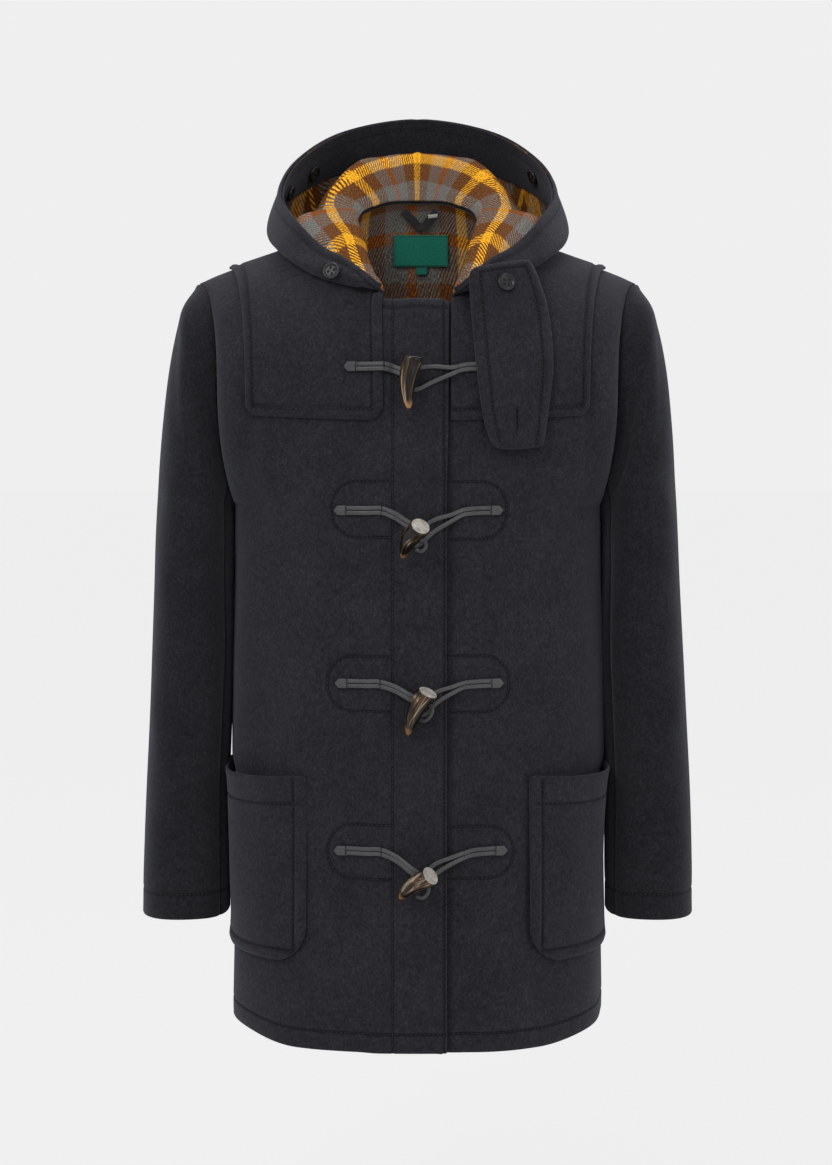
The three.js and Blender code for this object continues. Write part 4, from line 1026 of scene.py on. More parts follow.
def between_sleeves(z):
    return below_armpit(z) * smooth(z, -572, -552)


def cloth_coordinates(side, s, t, p):
    height = np.where(t <= T_ARMPIT, p[..., 2], np.nan)
    upper = ARMPIT_Z + (t - T_ARMPIT) / (1 - T_ARMPIT) * UPPER_LENGTH
    v = np.where(np.isnan(height), upper, height)
    return np.stack([side * s * MM_PER_S, v, 0 * v], -1) * MM


CHECK_OFFSET = {"front": (0.02, 0.03), "back": (-0.050, 0.002), "hood": (0.0, 0.0)}


def shifted(cloth, place):
    return cloth + np.array([*CHECK_OFFSET[place], 0])


def front_stops():
    t_lines = [lower_t(HEM_Z + HEM_STITCH)]
    dense = [(lower_t(bottom - 4), lower_t(top + 4)) for _, top, bottom in PLACKET_ROWS[RIGHT]]
    dense[0] = (dense[0][0], lerp(T_ARMPIT, T_CHEST, (-260 - ARMPIT_Z) / 97))
    t = list(refined(0, T_ARMPIT, 0.011, t_lines, 0.006, 0.0012))
    t += list(np.linspace(T_ARMPIT, 1 - SEAM_T, 60))[1:]
    for low, high in dense:
        t = [v for v in t if not low - 0.002 < v < high + 0.002]
        t += list(np.arange(low, high, 0.0019))
    return np.array(sorted(t))


def front_panel(side):
    lap = OVERLAP_S if side == RIGHT else UNDERLAP_S
    t = front_stops()
    s = np.concatenate([
        refined(-lap, FINE_START_S, 0.006, [LAP_EDGE_STITCH_X / MM_PER_S], 0.012, 0.003)[:-1],
        np.arange(FINE_START_S, FINE_END_S, FINE_STEP_S),
        np.linspace(FINE_END_S, 1 - SEAM_S, 44)])
    s, t = np.meshgrid(s, t, indexing="ij")
    reach = (1 - t) * TOP_REACH
    edge = (s + lap) * MM_PER_S
    near_edge, near_top = rounded_corner(edge, reach, LAP_CORNER_ROUND)
    s = near_edge / MM_PER_S - lap
    t = 1 - near_top / TOP_REACH
    t = np.minimum(t, 1 - SEAM_T)
    p = body_point("front", s, t)
    n = body_normal("front", s, t)
    x, z = p[..., 0], p[..., 2]
    lift = lap_lift(side, x)
    d = placket_distance(side, x, z)
    groove = 0.95 * bell(d, 1.3)
    groove = np.maximum(groove, bell(z - (HEM_Z + HEM_STITCH), 1.3))
    near_neck = np.linalg.norm(p - body_point("front", s, 1 + 0 * s), axis=-1)
    on_neck = np.abs(s) < NECK_STITCH_END_S
    groove = np.maximum(groove, bell(near_neck - NECK_STITCH, 1.4) * on_neck)
    plump = 0.5 * (1 - bell(z - HEM_Z, 9))
    if side == RIGHT:
        plump = plump + 1.3 * bell(edge - 4.6, 3.0)
        groove = np.maximum(groove, bell(x - LAP_EDGE_STITCH_X, 1.3))
        groove = np.maximum(groove, 0.85 * bell(x - LAP_INNER_STITCH_X, 1.2))
    else:
        # Painted shadow: a soft darker band on the left front just beyond the lapped right front's
        # edge, carried in the groove value, which also dents the cloth there.
        groove = np.maximum(groove, 0.55 * bell(x - LAP_EDGE_X - 1.5, 4.0) * (x > 0))
    relief = body_relief("front", side, s, t, p) - 1.5 * groove + plump - 0.5
    rounding = 0.9 * bell((1 - s) * MM_PER_S, 2.2) * (t < T_ARMPIT)
    p = settle(p + n * (lift + relief - rounding)[..., None])
    free = np.maximum(s < -lap + 0.002, t < 0.001) * 1.0
    cloth = shifted(cloth_coordinates(side, s, t, p), "front")
    return sided_shell(f"front_{NAMES[side]}", side, (p, n, cloth, groove, free), CHECKED_WOOL)


def on_front(side, x, z, out=0.0):
    """Points and directions on one front, from its own x and z seen from the front."""
    s, t = panel_place("front", np.abs(x), z)
    s = np.where(x < 0, -s, s)
    p, n = body_point("front", s, t), body_normal("front", s, t)
    lift = lap_lift(side, p[..., 0])
    p = settle(p + n * (lift + out + body_relief("front", side, s, t, p))[..., None])
    return mirrored(p, side), mirrored(n, side)


def sew_fronts():
    for side, name in NAMES.items():
        key = f"front_{name}"
        for line in placket_lines(side):
            p, n = on_front(side, line[:, 0], line[:, 1], -0.55)
            sew(key, p, n)
        x = np.linspace(-22 if side == RIGHT else 34, 178, 150)
        z = np.full_like(x, HEM_Z + HEM_STITCH)
        p, n = on_front(side, x, z, -0.8)
        sew(key, p, n)
    z = np.linspace(-96, HEM_Z + 4, 420)
    for x in (LAP_EDGE_STITCH_X, LAP_INNER_STITCH_X):
        p, n = on_front(RIGHT, np.full_like(z, x), z, -0.8)
        sew("front_right", p, n)


def centre_first_row(p, n):
    """Lays the first row of points on the centre line, so that both halves meet there."""
    p[0, :, 0] = 0
    n[0] = unit(n[0] * np.array([0, 1, 1]))


def back_panel():
    s_half = np.concatenate([np.linspace(0, NECK_S, 30)[:-1], np.linspace(NECK_S, 1 - SEAM_S, 62)])
    t = np.concatenate([refined(0, T_ARMPIT, 0.012, [lower_t(HEM_Z + HEM_STITCH)], 0.006, 0.0014),
                        np.linspace(T_ARMPIT, 1 - SEAM_T, 56)[1:]])
    patches = []
    for side in (LEFT, RIGHT):
        s, tt = np.meshgrid(s_half, t, indexing="ij")
        p, n = body_point("back", s, tt), body_normal("back", s, tt)
        centre_first_row(p, n)
        z = p[..., 2]
        groove = bell(z - (HEM_Z + HEM_STITCH), 1.3)
        rounding = 0.9 * bell((1 - s) * MM_PER_S, 2.2) * (tt < T_ARMPIT)
        p = p + n * (body_relief("back", side, s, tt, p) - 0.8 * groove - rounding)[..., None]
        p[..., 0] += SIDE_FILL * between_sleeves(z) * smooth(p[..., 0], 150, 195)
        free = (tt < 0.001) * 1.0
        cloth = shifted(cloth_coordinates(side, s, tt, p), "back")
        patches.append(patch(mirrored(p, side), mirrored(n, side), cloth, groove, free))
    piece = shell("back_cloth", patches, CLOTH, *CHECKED_WOOL, ["back"])
    for side in (LEFT, RIGHT):
        s = np.linspace(0.002, 0.99, 200)
        place = np.full_like(s, lower_t(HEM_Z + HEM_STITCH))
        p, n = body_point("back", s, place), body_normal("back", s, place)
        p = p + n * (body_relief("back", side, s, place, p) - 0.75)[..., None]
        sew_sided("back", side, p, n)
    return piece


# Yoke

YOKE_STITCH = 8.6
YOKE_LIFT = CLOTH + GAP
YOKE_LAP_S = 0.1035
YOKE_SIDE_ROUND, YOKE_FRONT_ROUND = 11, 13
YOKE_STITCH_RISE = 0.035 * 0.72


def yoke_piece():
    bottom = turn_t(YOKE_BOTTOM_TURN)
    inset = YOKE_STITCH / MM_PER_S
    neck = refined(YOKE_FRONT_S, NECK_S, 0.011, [YOKE_FRONT_S + inset], 0.012, 0.004)
    side_part = refined(NECK_S, YOKE_SIDE_S, 0.012, [YOKE_SIDE_S - inset], 0.012, 0.004)
    front_s = np.concatenate([neck[:-1], side_part])
    back_s = np.concatenate([np.linspace(0, NECK_S, 26)[:-1], side_part])
    patches = []
    for half in ("front", "back"):
        t_line = refined(bottom, 1, 0.0045, [bottom + YOKE_STITCH_RISE], 0.006, 0.0016)
        for side in (LEFT, RIGHT):
            under_lap = half == "front" and side == LEFT
            s_line = front_s if half == "front" else back_s
            if under_lap:
                s_line = np.concatenate([[YOKE_LAP_S, (YOKE_LAP_S + YOKE_FRONT_S) / 2], front_s])
            open_front = half == "front" and not under_lap
            s, t = np.meshgrid(s_line, t_line, indexing="ij")
            base = body_point(half, s, bottom + 0 * t)
            up = np.linalg.norm(body_point(half, s, t) - base, axis=-1)
            from_side = (YOKE_SIDE_S - s) * MM_PER_S * 1.02
            from_front = (s - YOKE_FRONT_S) * MM_PER_S if open_front else 0 * s + FAR_OFF
            new_side, new_up = rounded_corner(from_side, up, YOKE_SIDE_ROUND)
            new_front, new_up2 = rounded_corner(from_front, up, YOKE_FRONT_ROUND)
            moved_up = np.where(from_front < YOKE_FRONT_ROUND, new_up2, new_up)
            ratio = moved_up / np.maximum(up, 0.01)
            ratio = np.where(up > 0.01, ratio, 0)
            grow = np.where(up > 0.01, 0, moved_up)
            ds = (new_front - from_front if open_front else 0) - (new_side - from_side)
            s2 = s + ds / MM_PER_S
            t2 = bottom + (t - bottom) * ratio + grow * 0.0012
            t2 = np.minimum(t2, 1)
            p, n = body_point(half, s2, t2), body_normal(half, s2, t2)
            if half == "back":
                centre_first_row(p, n)
            up2 = np.linalg.norm(p - body_point(half, s2, bottom + 0 * t), axis=-1)
            side2 = (YOKE_SIDE_S - s2) * MM_PER_S
            front2 = (s2 - YOKE_FRONT_S) * MM_PER_S if open_front else 0 * s2 + FAR_OFF
            edge = np.minimum(np.minimum(side2, front2), up2)
            groove = bell(edge - YOKE_STITCH, 1.5)
            lift = lap_lift(side, p[..., 0]) if half == "front" else 0 * edge
            swell = 1.7 * bell(edge - YOKE_STITCH * 0.45, 3.8)
            soft = 0.8 * np.sin(p[..., 0] / 26 + side) * smooth(edge, 14, 40)
            p = p + n * (YOKE_LIFT + lift + swell + soft * 0.6 - 1.5 * groove)[..., None]
            free = (edge < 0.6) * 1.0
            cloth = shifted(cloth_coordinates(side, s2, t2, p), half)
            patches.append(patch(mirrored(p, side), mirrored(n, side), cloth, groove, free))
            mark = np.argmin(np.abs(up2 - YOKE_STITCH), axis=1)
            rows = np.arange(len(s_line))
            keep = (side2[rows, mark] > YOKE_STITCH) & (front2[rows, mark] > YOKE_STITCH)
            sew_sided("yoke", side, p[rows, mark][keep], n[rows, mark][keep])
            columns = [nearest(side2[:, -1], YOKE_STITCH)]
            if open_front:
                columns.append(nearest(front2[:, -1], YOKE_STITCH))
            for c in columns:
                keep = up2[c] > YOKE_STITCH
                sew_sided("yoke", side, p[c][keep], n[c][keep])
    return shell("yoke_cloth", patches, CLOTH, *PLAIN_WOOL, ["yoke"])


# Pockets

POCKET_MOUTH_STITCH, POCKET_SIDE_STITCH = 27, 10.5
POCKET_MM_PER_S, T_PER_MM = 285, 0.00133
POCKET_FRONT_ROUND, POCKET_BACK_ROUND = 34, 20


def pocket_piece(side):
    name = f"pocket_{NAMES[side]}"
    low, high = lower_t(POCKET_BOTTOM_Z), lower_t(POCKET_TOP_Z)
    width, depth = (1 - POCKET_FRONT_S) * POCKET_MM_PER_S, POCKET_TOP_Z - POCKET_BOTTOM_Z
    edge_line = POCKET_SIDE_STITCH
    a = refined(0, width, 3.2, [edge_line], 3.5, 1.0)
    b = refined(0, depth, 3.4, [edge_line, depth - POCKET_MOUTH_STITCH], 3.5, 1.0)
    a, b = np.meshgrid(a, b, indexing="ij")
    a2, b2 = rounded_corner(a, b, POCKET_FRONT_ROUND)
    far, b3 = rounded_corner(width - a, b2, POCKET_BACK_ROUND)
    at_back = width - a < POCKET_BACK_ROUND
    a3 = np.where(at_back, width - far, a2)
    b2 = np.where(at_back, b3, b2)
    s = POCKET_FRONT_S + a3 / width * (1 - POCKET_FRONT_S)
    s = np.minimum(s, 1 - SEAM_S)
    sag = 3.5 * np.sin(np.clip(a3 / width, 0, 1) * math.pi) * smooth(b2, depth * 0.6, depth)
    t = lerp(low, high, b2 / depth) - sag * T_PER_MM
    p, n = body_point("front", s, t), body_normal("front", s, t)
    across, up = a3 / width, b2 / depth
    edge = np.minimum(1, across * 4) * np.minimum(1, (1 - across) * 1.7)
    edge = edge * edge * (3 - 2 * edge)
    stand = lerp(POCKET_BASE_STAND, POCKET_MOUTH_STAND, up**2) * np.minimum(1, up * 3)
    border = np.minimum(np.minimum(a3, width - a3), b2)
    from_mouth = depth - b2
    groove = bell(border - edge_line, 1.5) * (from_mouth > 2)
    groove = np.maximum(groove, bell(from_mouth - POCKET_MOUTH_STITCH, 1.5)
                        * (border > edge_line * 0.4))
    roll = 1.9 * bell(border - 4.8, 4.6) + 1.2 * bell(from_mouth, 7)
    slump = 1.6 * np.sin(across * 5 + side) * np.sin(up * math.pi)
    p = p + n * (GAP + CLOTH + stand * edge + roll + slump - 1.5 * groove)[..., None]
    cloth = shifted(cloth_coordinates(side, s, t, p), "front")
    row = nearest(b[0], depth - POCKET_MOUTH_STITCH)
    column_at = nearest(a[:, 0], edge_line)
    low_row = nearest(b[0], edge_line)
    for line, keep in (
        (np.s_[:, row], border[:, row] > edge_line * 0.4),
        (np.s_[column_at], b[column_at] > POCKET_FRONT_ROUND + 2),
        (np.s_[:, low_row], (a[:, low_row] > POCKET_FRONT_ROUND + 2)
         & (a[:, low_row] < width - POCKET_BACK_ROUND - 2)),
    ):
        sew_sided(name, side, p[line][keep], n[line][keep])
    return sided_shell(name, side, (p, n, cloth, groove, np.ones_like(s)), PLAIN_WOOL)


# Sleeve pieces

CUFF_STITCH, SLEEVE_LENGTH, SLEEVE_RADIUS = 21, 640.0, 75
CREASE_TURN = 400
SLEEVE_CREASES = [  # turn in degrees and share along, both ends, depth, width as a share
    (110, 0.40, 150, 0.44, -2.0, 0.028), (215, 0.47, 240, 0.52, -2.0, 0.026),
    (60, 0.36, 110, 0.42, -3.2, 0.024), (70, 0.50, 115, 0.54, -2.4, 0.022),
    (150, 0.16, 120, 0.30, -1.8, 0.03), (250, 0.36, 200, 0.42, -2.6, 0.022),
    (90, 0.08, 60, 0.22, -2.6, 0.03), (270, 0.10, 300, 0.24, -2.4, 0.03),
    (300, 0.45, 250, 0.50, -2.2, 0.02), (140, 0.72, 100, 0.80, 1.6, 0.03),
]


def sleeve_relief(side, turn, v):
    degrees = np.mod(np.degrees(turn) + 20, 360) - 20
    total = 0 * v
    for k, (d0, v0, d1, v1, depth, width) in enumerate(SLEEVE_CREASES):
        move = 0.012 * (k % 3 - 1) * side
        start, end = (d0 / CREASE_TURN, v0 + move), (d1 / CREASE_TURN, v1 + move)
        total = total + crease(degrees / CREASE_TURN, v, start, end, depth, width)
    wave = 0.9 * np.sin(degrees / 31 + side + v * 9) * smooth(v, 0.1, 0.3)
    return (total + wave) * smooth(v, 0.03, 0.1) * (1 - smooth(v, 0.94, 0.99))


def sleeve_piece(side, part):
    name = NAMES[side]
    low = SLEEVE_SEAM_DEGREES if part == "top" else -SLEEVE_SEAM_DEGREES
    high = 360 - SLEEVE_SEAM_DEGREES if part == "top" else SLEEVE_SEAM_DEGREES
    low, high = math.radians(low) + SLEEVE_SEAM_GAP, math.radians(high) - SLEEVE_SEAM_GAP
    turns = np.linspace(low, high, 130 if part == "top" else 34)
    turns = np.concatenate([[low, low + 0.012, low + 0.03], turns[1:-1],
                            [high - 0.03, high - 0.012, high]])
    length = SLEEVE_LENGTH
    v = refined(0, 1, 0.0105, [1 - CUFF_STITCH / length], 0.006, 0.0018)
    v = np.concatenate([[0, 0.003], v[1:]])
    turn, vv = np.meshgrid(turns, v, indexing="ij")
    p, n = sleeve_point(turn, vv), sleeve_normal(turn, np.maximum(vv, 0.002))
    from_seam = np.minimum(turn - low, high - turn) * SLEEVE_RADIUS
    from_cuff = (1 - vv) * length
    groove = bell(from_cuff - CUFF_STITCH, 1.4)
    seam = 1.3 * bell(from_seam, 2.6) + 0.35 * bell(from_seam - 6, 1.4)
    head = 1.4 * bell(vv * length, 3.0) - 1.2 * bell(vv * length - 9, 7)
    p = p + n * (sleeve_relief(side, turn, vv) * smooth(from_seam, 0, 12) - 0.9 * groove - seam
                 - head)[..., None]
    inward = smooth(-n[..., 0], 0.0, 0.8)
    p[..., 0] -= SLEEVE_FILL * inward * below_armpit(p[..., 2])
    free = (vv > 0.999) * 1.0
    cloth = np.stack([turn * 0.075, -vv * 0.64, 0 * vv], -1)
    row = nearest(v, 1 - CUFF_STITCH / length)
    sew_sided(f"sleeve_{name}", side, p[:, row], n[:, row])
    return sided_shell(f"sleeve_{name}_{part}", side, (p, n, cloth, groove, free),
                       ("melton", SHADED_SLEEVE_MELTON, CHECK))


# Hood pieces

RIM_STITCH, FACING_FIRST_COLUMN = 8, 30
SOLID_COLUMNS, SOLID_ROWS, SOLID_FACING_ROWS = 16, 12, 2
HOOD_POINTS, HOOD_NORMALS = hood_grid()


def hood_lift(side, column):
    """The right half's front end gives to the lapped front, as the seam below it does."""
    if side == LEFT:
        return 0.0
    share = column / HOOD_COLUMNS * SOLID_COLUMNS
    x = HOOD_POINTS[column, 0, 0]
    return float(lap_lift(side, x) * (1 - smooth(share, 4.5, 6.5)))


CREST_ROW = 13
LINING_PACE, LINING_PACE_ARC = (1.28, 0.72), (66, 104)
LINING_RIDGE, LINING_RIDGE_ARC = 34, (60, 150)
LINING_SHIFT = 13.0
NECK_EDGE_X, NECK_EDGE_Z = 68, 40


def hood_cloth_coordinates(side):
    """The lining's own flat coordinates: along its crest, and out from the crest."""
    p = HOOD_POINTS
    v = arc_lengths(p, 1)
    arc = arc_lengths(p[::-1, CREST_ROW])
    fine = np.linspace(0, arc[-1], 2000)
    along = np.cumsum(lerp(*LINING_PACE, smooth(fine, *LINING_PACE_ARC))) * (fine[1] - fine[0])
    x = np.interp(arc, fine, along)[::-1, None]
    ridge = LINING_RIDGE * smooth(arc, *LINING_RIDGE_ARC)[::-1, None]
    out = v - v[:, CREST_ROW:CREST_ROW + 1] - ridge
    return np.stack([side * x + 0 * out, out + LINING_SHIFT, 0 * out], -1) * MM


def hood_surface(side):
    """The hood's navy face with its soft relief, its stitched groove and the width to its rim."""
    p, n = HOOD_POINTS.copy(), HOOD_NORMALS
    v = arc_lengths(p, 1)
    from_rim = v[:, -1:] - v
    groove = bell(from_rim - RIM_STITCH, 1.5)
    u = np.linspace(0, 1, len(p))[:, None]
    centre = bell((1 - u) * 420, 3) * 1.6
    swell = 1.1 * bell(from_rim - 3.5, 4.0)
    soft = 2.2 * np.sin(u * 11 + side) * smooth(v, 70, 130) * smooth(from_rim, 25, 70)
    edge_fade = smooth(u, 0.12, 0.3)
    lifted = p + n * (soft * edge_fade + swell * edge_fade - 0.9 * groove - centre)[..., None]
    for c in range(len(p)):
        lift = hood_lift(side, c)
        if lift:
            way = body_normal("front", np.array(0.11 + 0.1 * c / 24), np.array(0.999))
            lifted[c] = lifted[c] + way * lift
    lifted[-1, :, 0] = 0
    return lifted, n, groove, from_rim


def at_neck_seam(p):
    """Whether points are on the hood's edge inside the neck, where its cloth shows the check."""
    return (np.abs(p[:, 0]) < NECK_EDGE_X) & (p[:, 1] > 0) & (p[:, 2] < NECK_EDGE_Z)


def hood_half(side):
    name = f"hood_{NAMES[side]}"
    lifted, n, groove, from_rim = hood_surface(side)
    free = np.broadcast_to((from_rim < 0.5) * 1.0, from_rim.shape)
    cloth = shifted(hood_cloth_coordinates(side), "hood")
    row = np.argmin(np.abs(from_rim - RIM_STITCH), axis=1)
    cols = np.arange(len(lifted))[10:]
    sew_sided(name, side, lifted[cols, row[10:]], n[cols, row[10:]])
    return sided_shell(name, side, (lifted, n, cloth, groove, free), CHECKED_WOOL,
                       lined_edge=at_neck_seam)


def facing_piece(side):
    """The navy band sewn on the inside of the hood along its rim."""
    name = NAMES[side]
    band = np.s_[FACING_FIRST_COLUMN:, HOOD_FINE_ROWS:]
    lifted, normals, _, from_rim = hood_surface(side)
    p, n, from_rim = lifted[band], normals[band], from_rim[band]
    groove = bell(from_rim - RIM_STITCH, 1.5)
    u = np.linspace(0, 1, p.shape[0])[:, None]
    w = np.linspace(0, 1, p.shape[1])[None, :]
    puff = 0.8 + 0.5 * np.sin(u * 23) * np.sin(w * math.pi)
    p = p - n * (CLOTH + GAP + FACING_CLOTH + puff - 0.4 * groove)[..., None]
    p[-1, :, 0] = 0
    cloth = np.stack([u * 0.4 + 0 * w, 0 * u + w * 0.05, 0 * u * w], -1)
    row = np.argmin(np.abs(from_rim - RIM_STITCH), axis=1)
    cols = np.arange(p.shape[0])
    for rows in (row, np.full(len(cols), 1)):
        sew_sided(f"hood_{name}", side, p[cols, rows], -n[cols, rows])
    return sided_shell(f"hood_facing_{name}", side, (p, -n, cloth, groove, np.ones(p.shape[:2])),
                       ("melton_facing", FACING, None), FACING_CLOTH)


# Throat tab

THROAT_TAB_ROWS = [  # inner edge and outer edge of its back face, from the top down
    ((54, -117.5, -55), (112, -96, -44)), ((53.5, -119.5, -72), (121, -99, -64)),
    ((56, -125, -110), (130, -111, -100)), ((60, -139.5, -155), (133, -128.5, -149)),
    ((66, -143, -200), (129, -134, -187)), ((73, -144, -224), (124, -137, -224)),
    ((79, -144.5, -231), (120, -137.5, -230)),
]
THROAT_TAB_CLOTH, THROAT_TAB_CROWN, TAB_STITCH = 5.0, 3.5, 9.4
TAB_BUTTONHOLE = (97.5, -192, -215)
TAB_WIDTH, TAB_HEIGHT, TAB_TOP_ROUND, TAB_LOW_ROUND = 70.0, 182.0, 9, 12


def throat_tab_point(u, v):
    rows = np.array(THROAT_TAB_ROWS, float)
    u, v = np.broadcast_arrays(np.asarray(u, float), np.asarray(v, float))
    flat = v.ravel()
    inner, outer = (on_rows(np.broadcast_to(rows[:, None, k], (len(rows), flat.size, 3)), flat)
                    for k in (0, 1))
    share = u.ravel()[:, None]
    point = inner + (outer - inner) * share
    point[:, 1] -= (THROAT_TAB_CROWN * 4 * share * (1 - share))[:, 0] + THROAT_TAB_CLOTH
    return point.reshape(*u.shape, 3)


def throat_tab_normal(u, v):
    h = 0.01
    v = np.clip(v, h, 1 - h)
    across = throat_tab_point(u + h, v) - throat_tab_point(u - h, v)
    down = throat_tab_point(u, v + h) - throat_tab_point(u, v - h)
    normal = unit(np.cross(down, across))
    return np.where(normal[..., 1:2] > 0, -normal, normal)


def throat_tab_piece():
    width, height = TAB_WIDTH, TAB_HEIGHT
    a = refined(0, width, 2.2, [TAB_STITCH, width - TAB_STITCH], 3.0, 0.8)
    b = refined(0, height, 2.4, [TAB_STITCH, height - TAB_STITCH], 3.0, 0.8)
    a, b = np.meshgrid(a, b, indexing="ij")
    a1, b1 = rounded_corner(a, b, TAB_TOP_ROUND)
    far, b1 = rounded_corner(width - a1, b1, TAB_TOP_ROUND)
    a1 = np.where(width - a < TAB_TOP_ROUND, width - far, a1)
    at_low, at_far = height - b < TAB_LOW_ROUND, width - a < TAB_LOW_ROUND
    a2, low = rounded_corner(a1, height - b1, TAB_LOW_ROUND)
    b1 = np.where(at_low, height - low, b1)
    a1 = np.where(at_low, a2, a1)
    far, low = rounded_corner(width - a1, height - b1, TAB_LOW_ROUND)
    a1 = np.where(at_far & at_low, width - far, a1)
    b1 = np.where(at_far & at_low, height - low, b1)
    u, v = a1 / width, b1 / height
    p, n = throat_tab_point(u, v), throat_tab_normal(u, v)
    border = np.minimum(np.minimum(a1, width - a1), np.minimum(b1, height - b1))
    groove = bell(border - TAB_STITCH, 1.4)
    hole_x, hole_top, hole_low = TAB_BUTTONHOLE
    # The buttonhole slit is a dent in the cloth and, through the groove value, painted shade.
    slit = bell(p[..., 0] - hole_x, 0.9) * smooth(p[..., 2], hole_low - 1, hole_low + 1)
    slit = slit * (1 - smooth(p[..., 2], hole_top - 1, hole_top + 1))
    groove = np.maximum(groove, slit)
    swell = 0.9 * bell(border - 4.6, 3.8)
    rounding = 1.1 * bell(border, 1.6)
    p = p + n * (swell - 1.0 * groove - rounding)[..., None]
    cloth = np.stack([p[..., 0], p[..., 2], 0 * u], -1) * MM
    piece = shell("throat_tab_cloth", [patch(p, n, cloth, groove, np.ones_like(u))],
                  THROAT_TAB_CLOTH, *PLAIN_WOOL, ["throat_tab"])
    left, right = (nearest(a[:, 0], at) for at in (TAB_STITCH, width - TAB_STITCH))
    top, low = (nearest(b[0], at) for at in (TAB_STITCH, height - TAB_STITCH))
    for c in (left, right):
        sew("throat_tab", p[c, top:low], n[c, top:low])
    for r in (top, low):
        sew("throat_tab", p[left:right, r], n[left:right, r])
    z = np.linspace(hole_top + 1.5, hole_low - 1.5, 24)
    for offset in (-1.6, 1.6):
        line = np.array([surface_on_tab(hole_x + offset, at) for at in z])
        sew("throat_tab", line, np.tile([0.0, -1.0, 0.0], (len(z), 1)), 1.5, 1.3, 0.55)
    return piece


def surface_on_tab(x, z):
    """A point of the throat tab's outer face, at a place seen from the front."""
    u, v = 0.5, 0.5
    for _ in range(30):
        p = throat_tab_point(u, v)
        left, right = throat_tab_point(0.0, v), throat_tab_point(1.0, v)
        u = float(np.clip(u + 0.8 * (x - p[0]) / (right[0] - left[0]), 0, 1))
        v = float(np.clip(v + 0.8 * (p[2] - z) / 185, 0, 1))
    return throat_tab_point(u, v)


# Small solids

def loft(name, rings, material, cloth=None, groove=None):
    """A closed piece through rings of points, all with the same even count."""
    rings = np.asarray(rings, float)
    count, sides = rings.shape[:2]
    index = np.arange(count * sides).reshape(count, sides)
    nxt = np.roll(index, -1, axis=1)
    faces = [np.stack([index[:-1], nxt[:-1], nxt[1:], index[1:]], -1).reshape(-1, 4)]
    k = np.arange(sides // 2 - 1)
    for ring, way in ((index[0], 1), (index[-1], -1)):
        cap = np.stack([ring[k], ring[sides - 1 - k], ring[sides - 2 - k], ring[k + 1]], -1)
        faces.append(cap[:, ::way])
    faces = np.concatenate(faces)
    points = rings.reshape(-1, 3)
    centre = rings.mean(axis=1)
    middle = count // 2
    a, b, c = rings[middle, 0], rings[middle, 1], rings[min(middle + 1, count - 1), 0]
    if np.cross(b - a, c - a) @ (a - centre[middle]) < 0:
        faces = faces[:, ::-1]
    data = {
        "cloth": np.zeros((len(points), 3)) if cloth is None else np.reshape(cloth, (-1, 3)),
        "groove": np.zeros(len(points)) if groove is None else np.ravel(groove),
    }
    piece = link(name, points, faces, [material], np.zeros(len(faces)), data)
    return piece


def joined(name, pieces):
    """Several pieces made into one, with the first one's finish."""
    with bpy.context.temp_override(active_object=pieces[0], selected_editable_objects=pieces):
        bpy.ops.object.join()
    pieces[0].name = name
    return pieces[0]


# Fastenings

FASTENINGS = [
    dict(wide=(-4.4, -143), tip=(-8.9, -193), lifts=(17.5, 13.5), seat=0.9, tab_z=-151.5,
         right_tip=-69.5, bend_x=-33, left_tip=72, join=(36, -154.5), spread=10.5),
    dict(wide=(2.9, -306), tip=(-14.6, -338), lifts=(46, 12), seat=1.8, tab_z=-293,
         right_tip=-79.2, bend_x=-35.6, left_tip=81, join=(38, -296.5), spread=7.5,
         end_loop=[(1, -321), (7.5, -323.5), (8.0, -328.5), (4.0, -332.5), (-1.5, -331)]),
    dict(wide=(10.2, -468), tip=(-10, -511.5), lifts=(25, 8), seat=0.9, tab_z=-463,
         right_tip=-78.2, bend_x=-37, left_tip=81.5, join=(39, -466), spread=7,
         end_loop=[(10, -482), (14.5, -486), (13.0, -493), (8.0, -498), (3.0, -498)]),
    dict(wide=(12.6, -645), tip=(-17.5, -672), lifts=(33, 9), seat=0.9, tab_z=-628.5,
         right_tip=-79.6, bend_x=-36, left_tip=85.5, join=(43, -633.5), spread=6.5,
         end_loop=[(6, -659), (10.5, -662), (10.0, -668), (5.0, -672.5), (-1.0, -672)]),
]
TOGGLE_PROFILE = [  # share along, radius
    (0, 9.4), (0.04, 10.1), (0.2, 9.5), (0.35, 8.9), (0.5, 7.9), (0.75, 5.8), (0.93, 3.5), (1, 1.6),
]
TOGGLE_BEND, TOGGLE_WAIST_ALONG, TOGGLE_WAIST_RADIUS, TOGGLE_SIDES = 3, 0.35, 8.4, 44
STRAND_WIDTH, STRAND_THICKNESS = 4.2, 2.2
CORD_CLEARANCE, RIBBON_STEP = 0.5, 1.3


def cover(row, x, z):
    """How far towards the front the cloth under a fastening reaches, at places seen from there."""
    x, z = np.broadcast_arrays(np.asarray(x, float), np.asarray(z, float))
    near = []
    for dx, dz in ((-3, 0), (0, 0), (3, 0), (0, -3), (0, 3)):
        at = x + dx
        right, left = (on_front(side, at * side, z + dz)[0][..., 1] for side in (RIGHT, LEFT))
        y = np.where(at < 32, right, left)
        if row is FASTENINGS[0]:
            y = y - (YOKE_LIFT + 1.3) * ((at < -32) | (at > 30))
        near.append(y)
    return np.min(near, axis=0)


def toggle_ends(row):
    return [np.array([x, float(front_face(x, z)) - lift, z])
            for (x, z), lift in zip((row["wide"], row["tip"]), row["lifts"])]


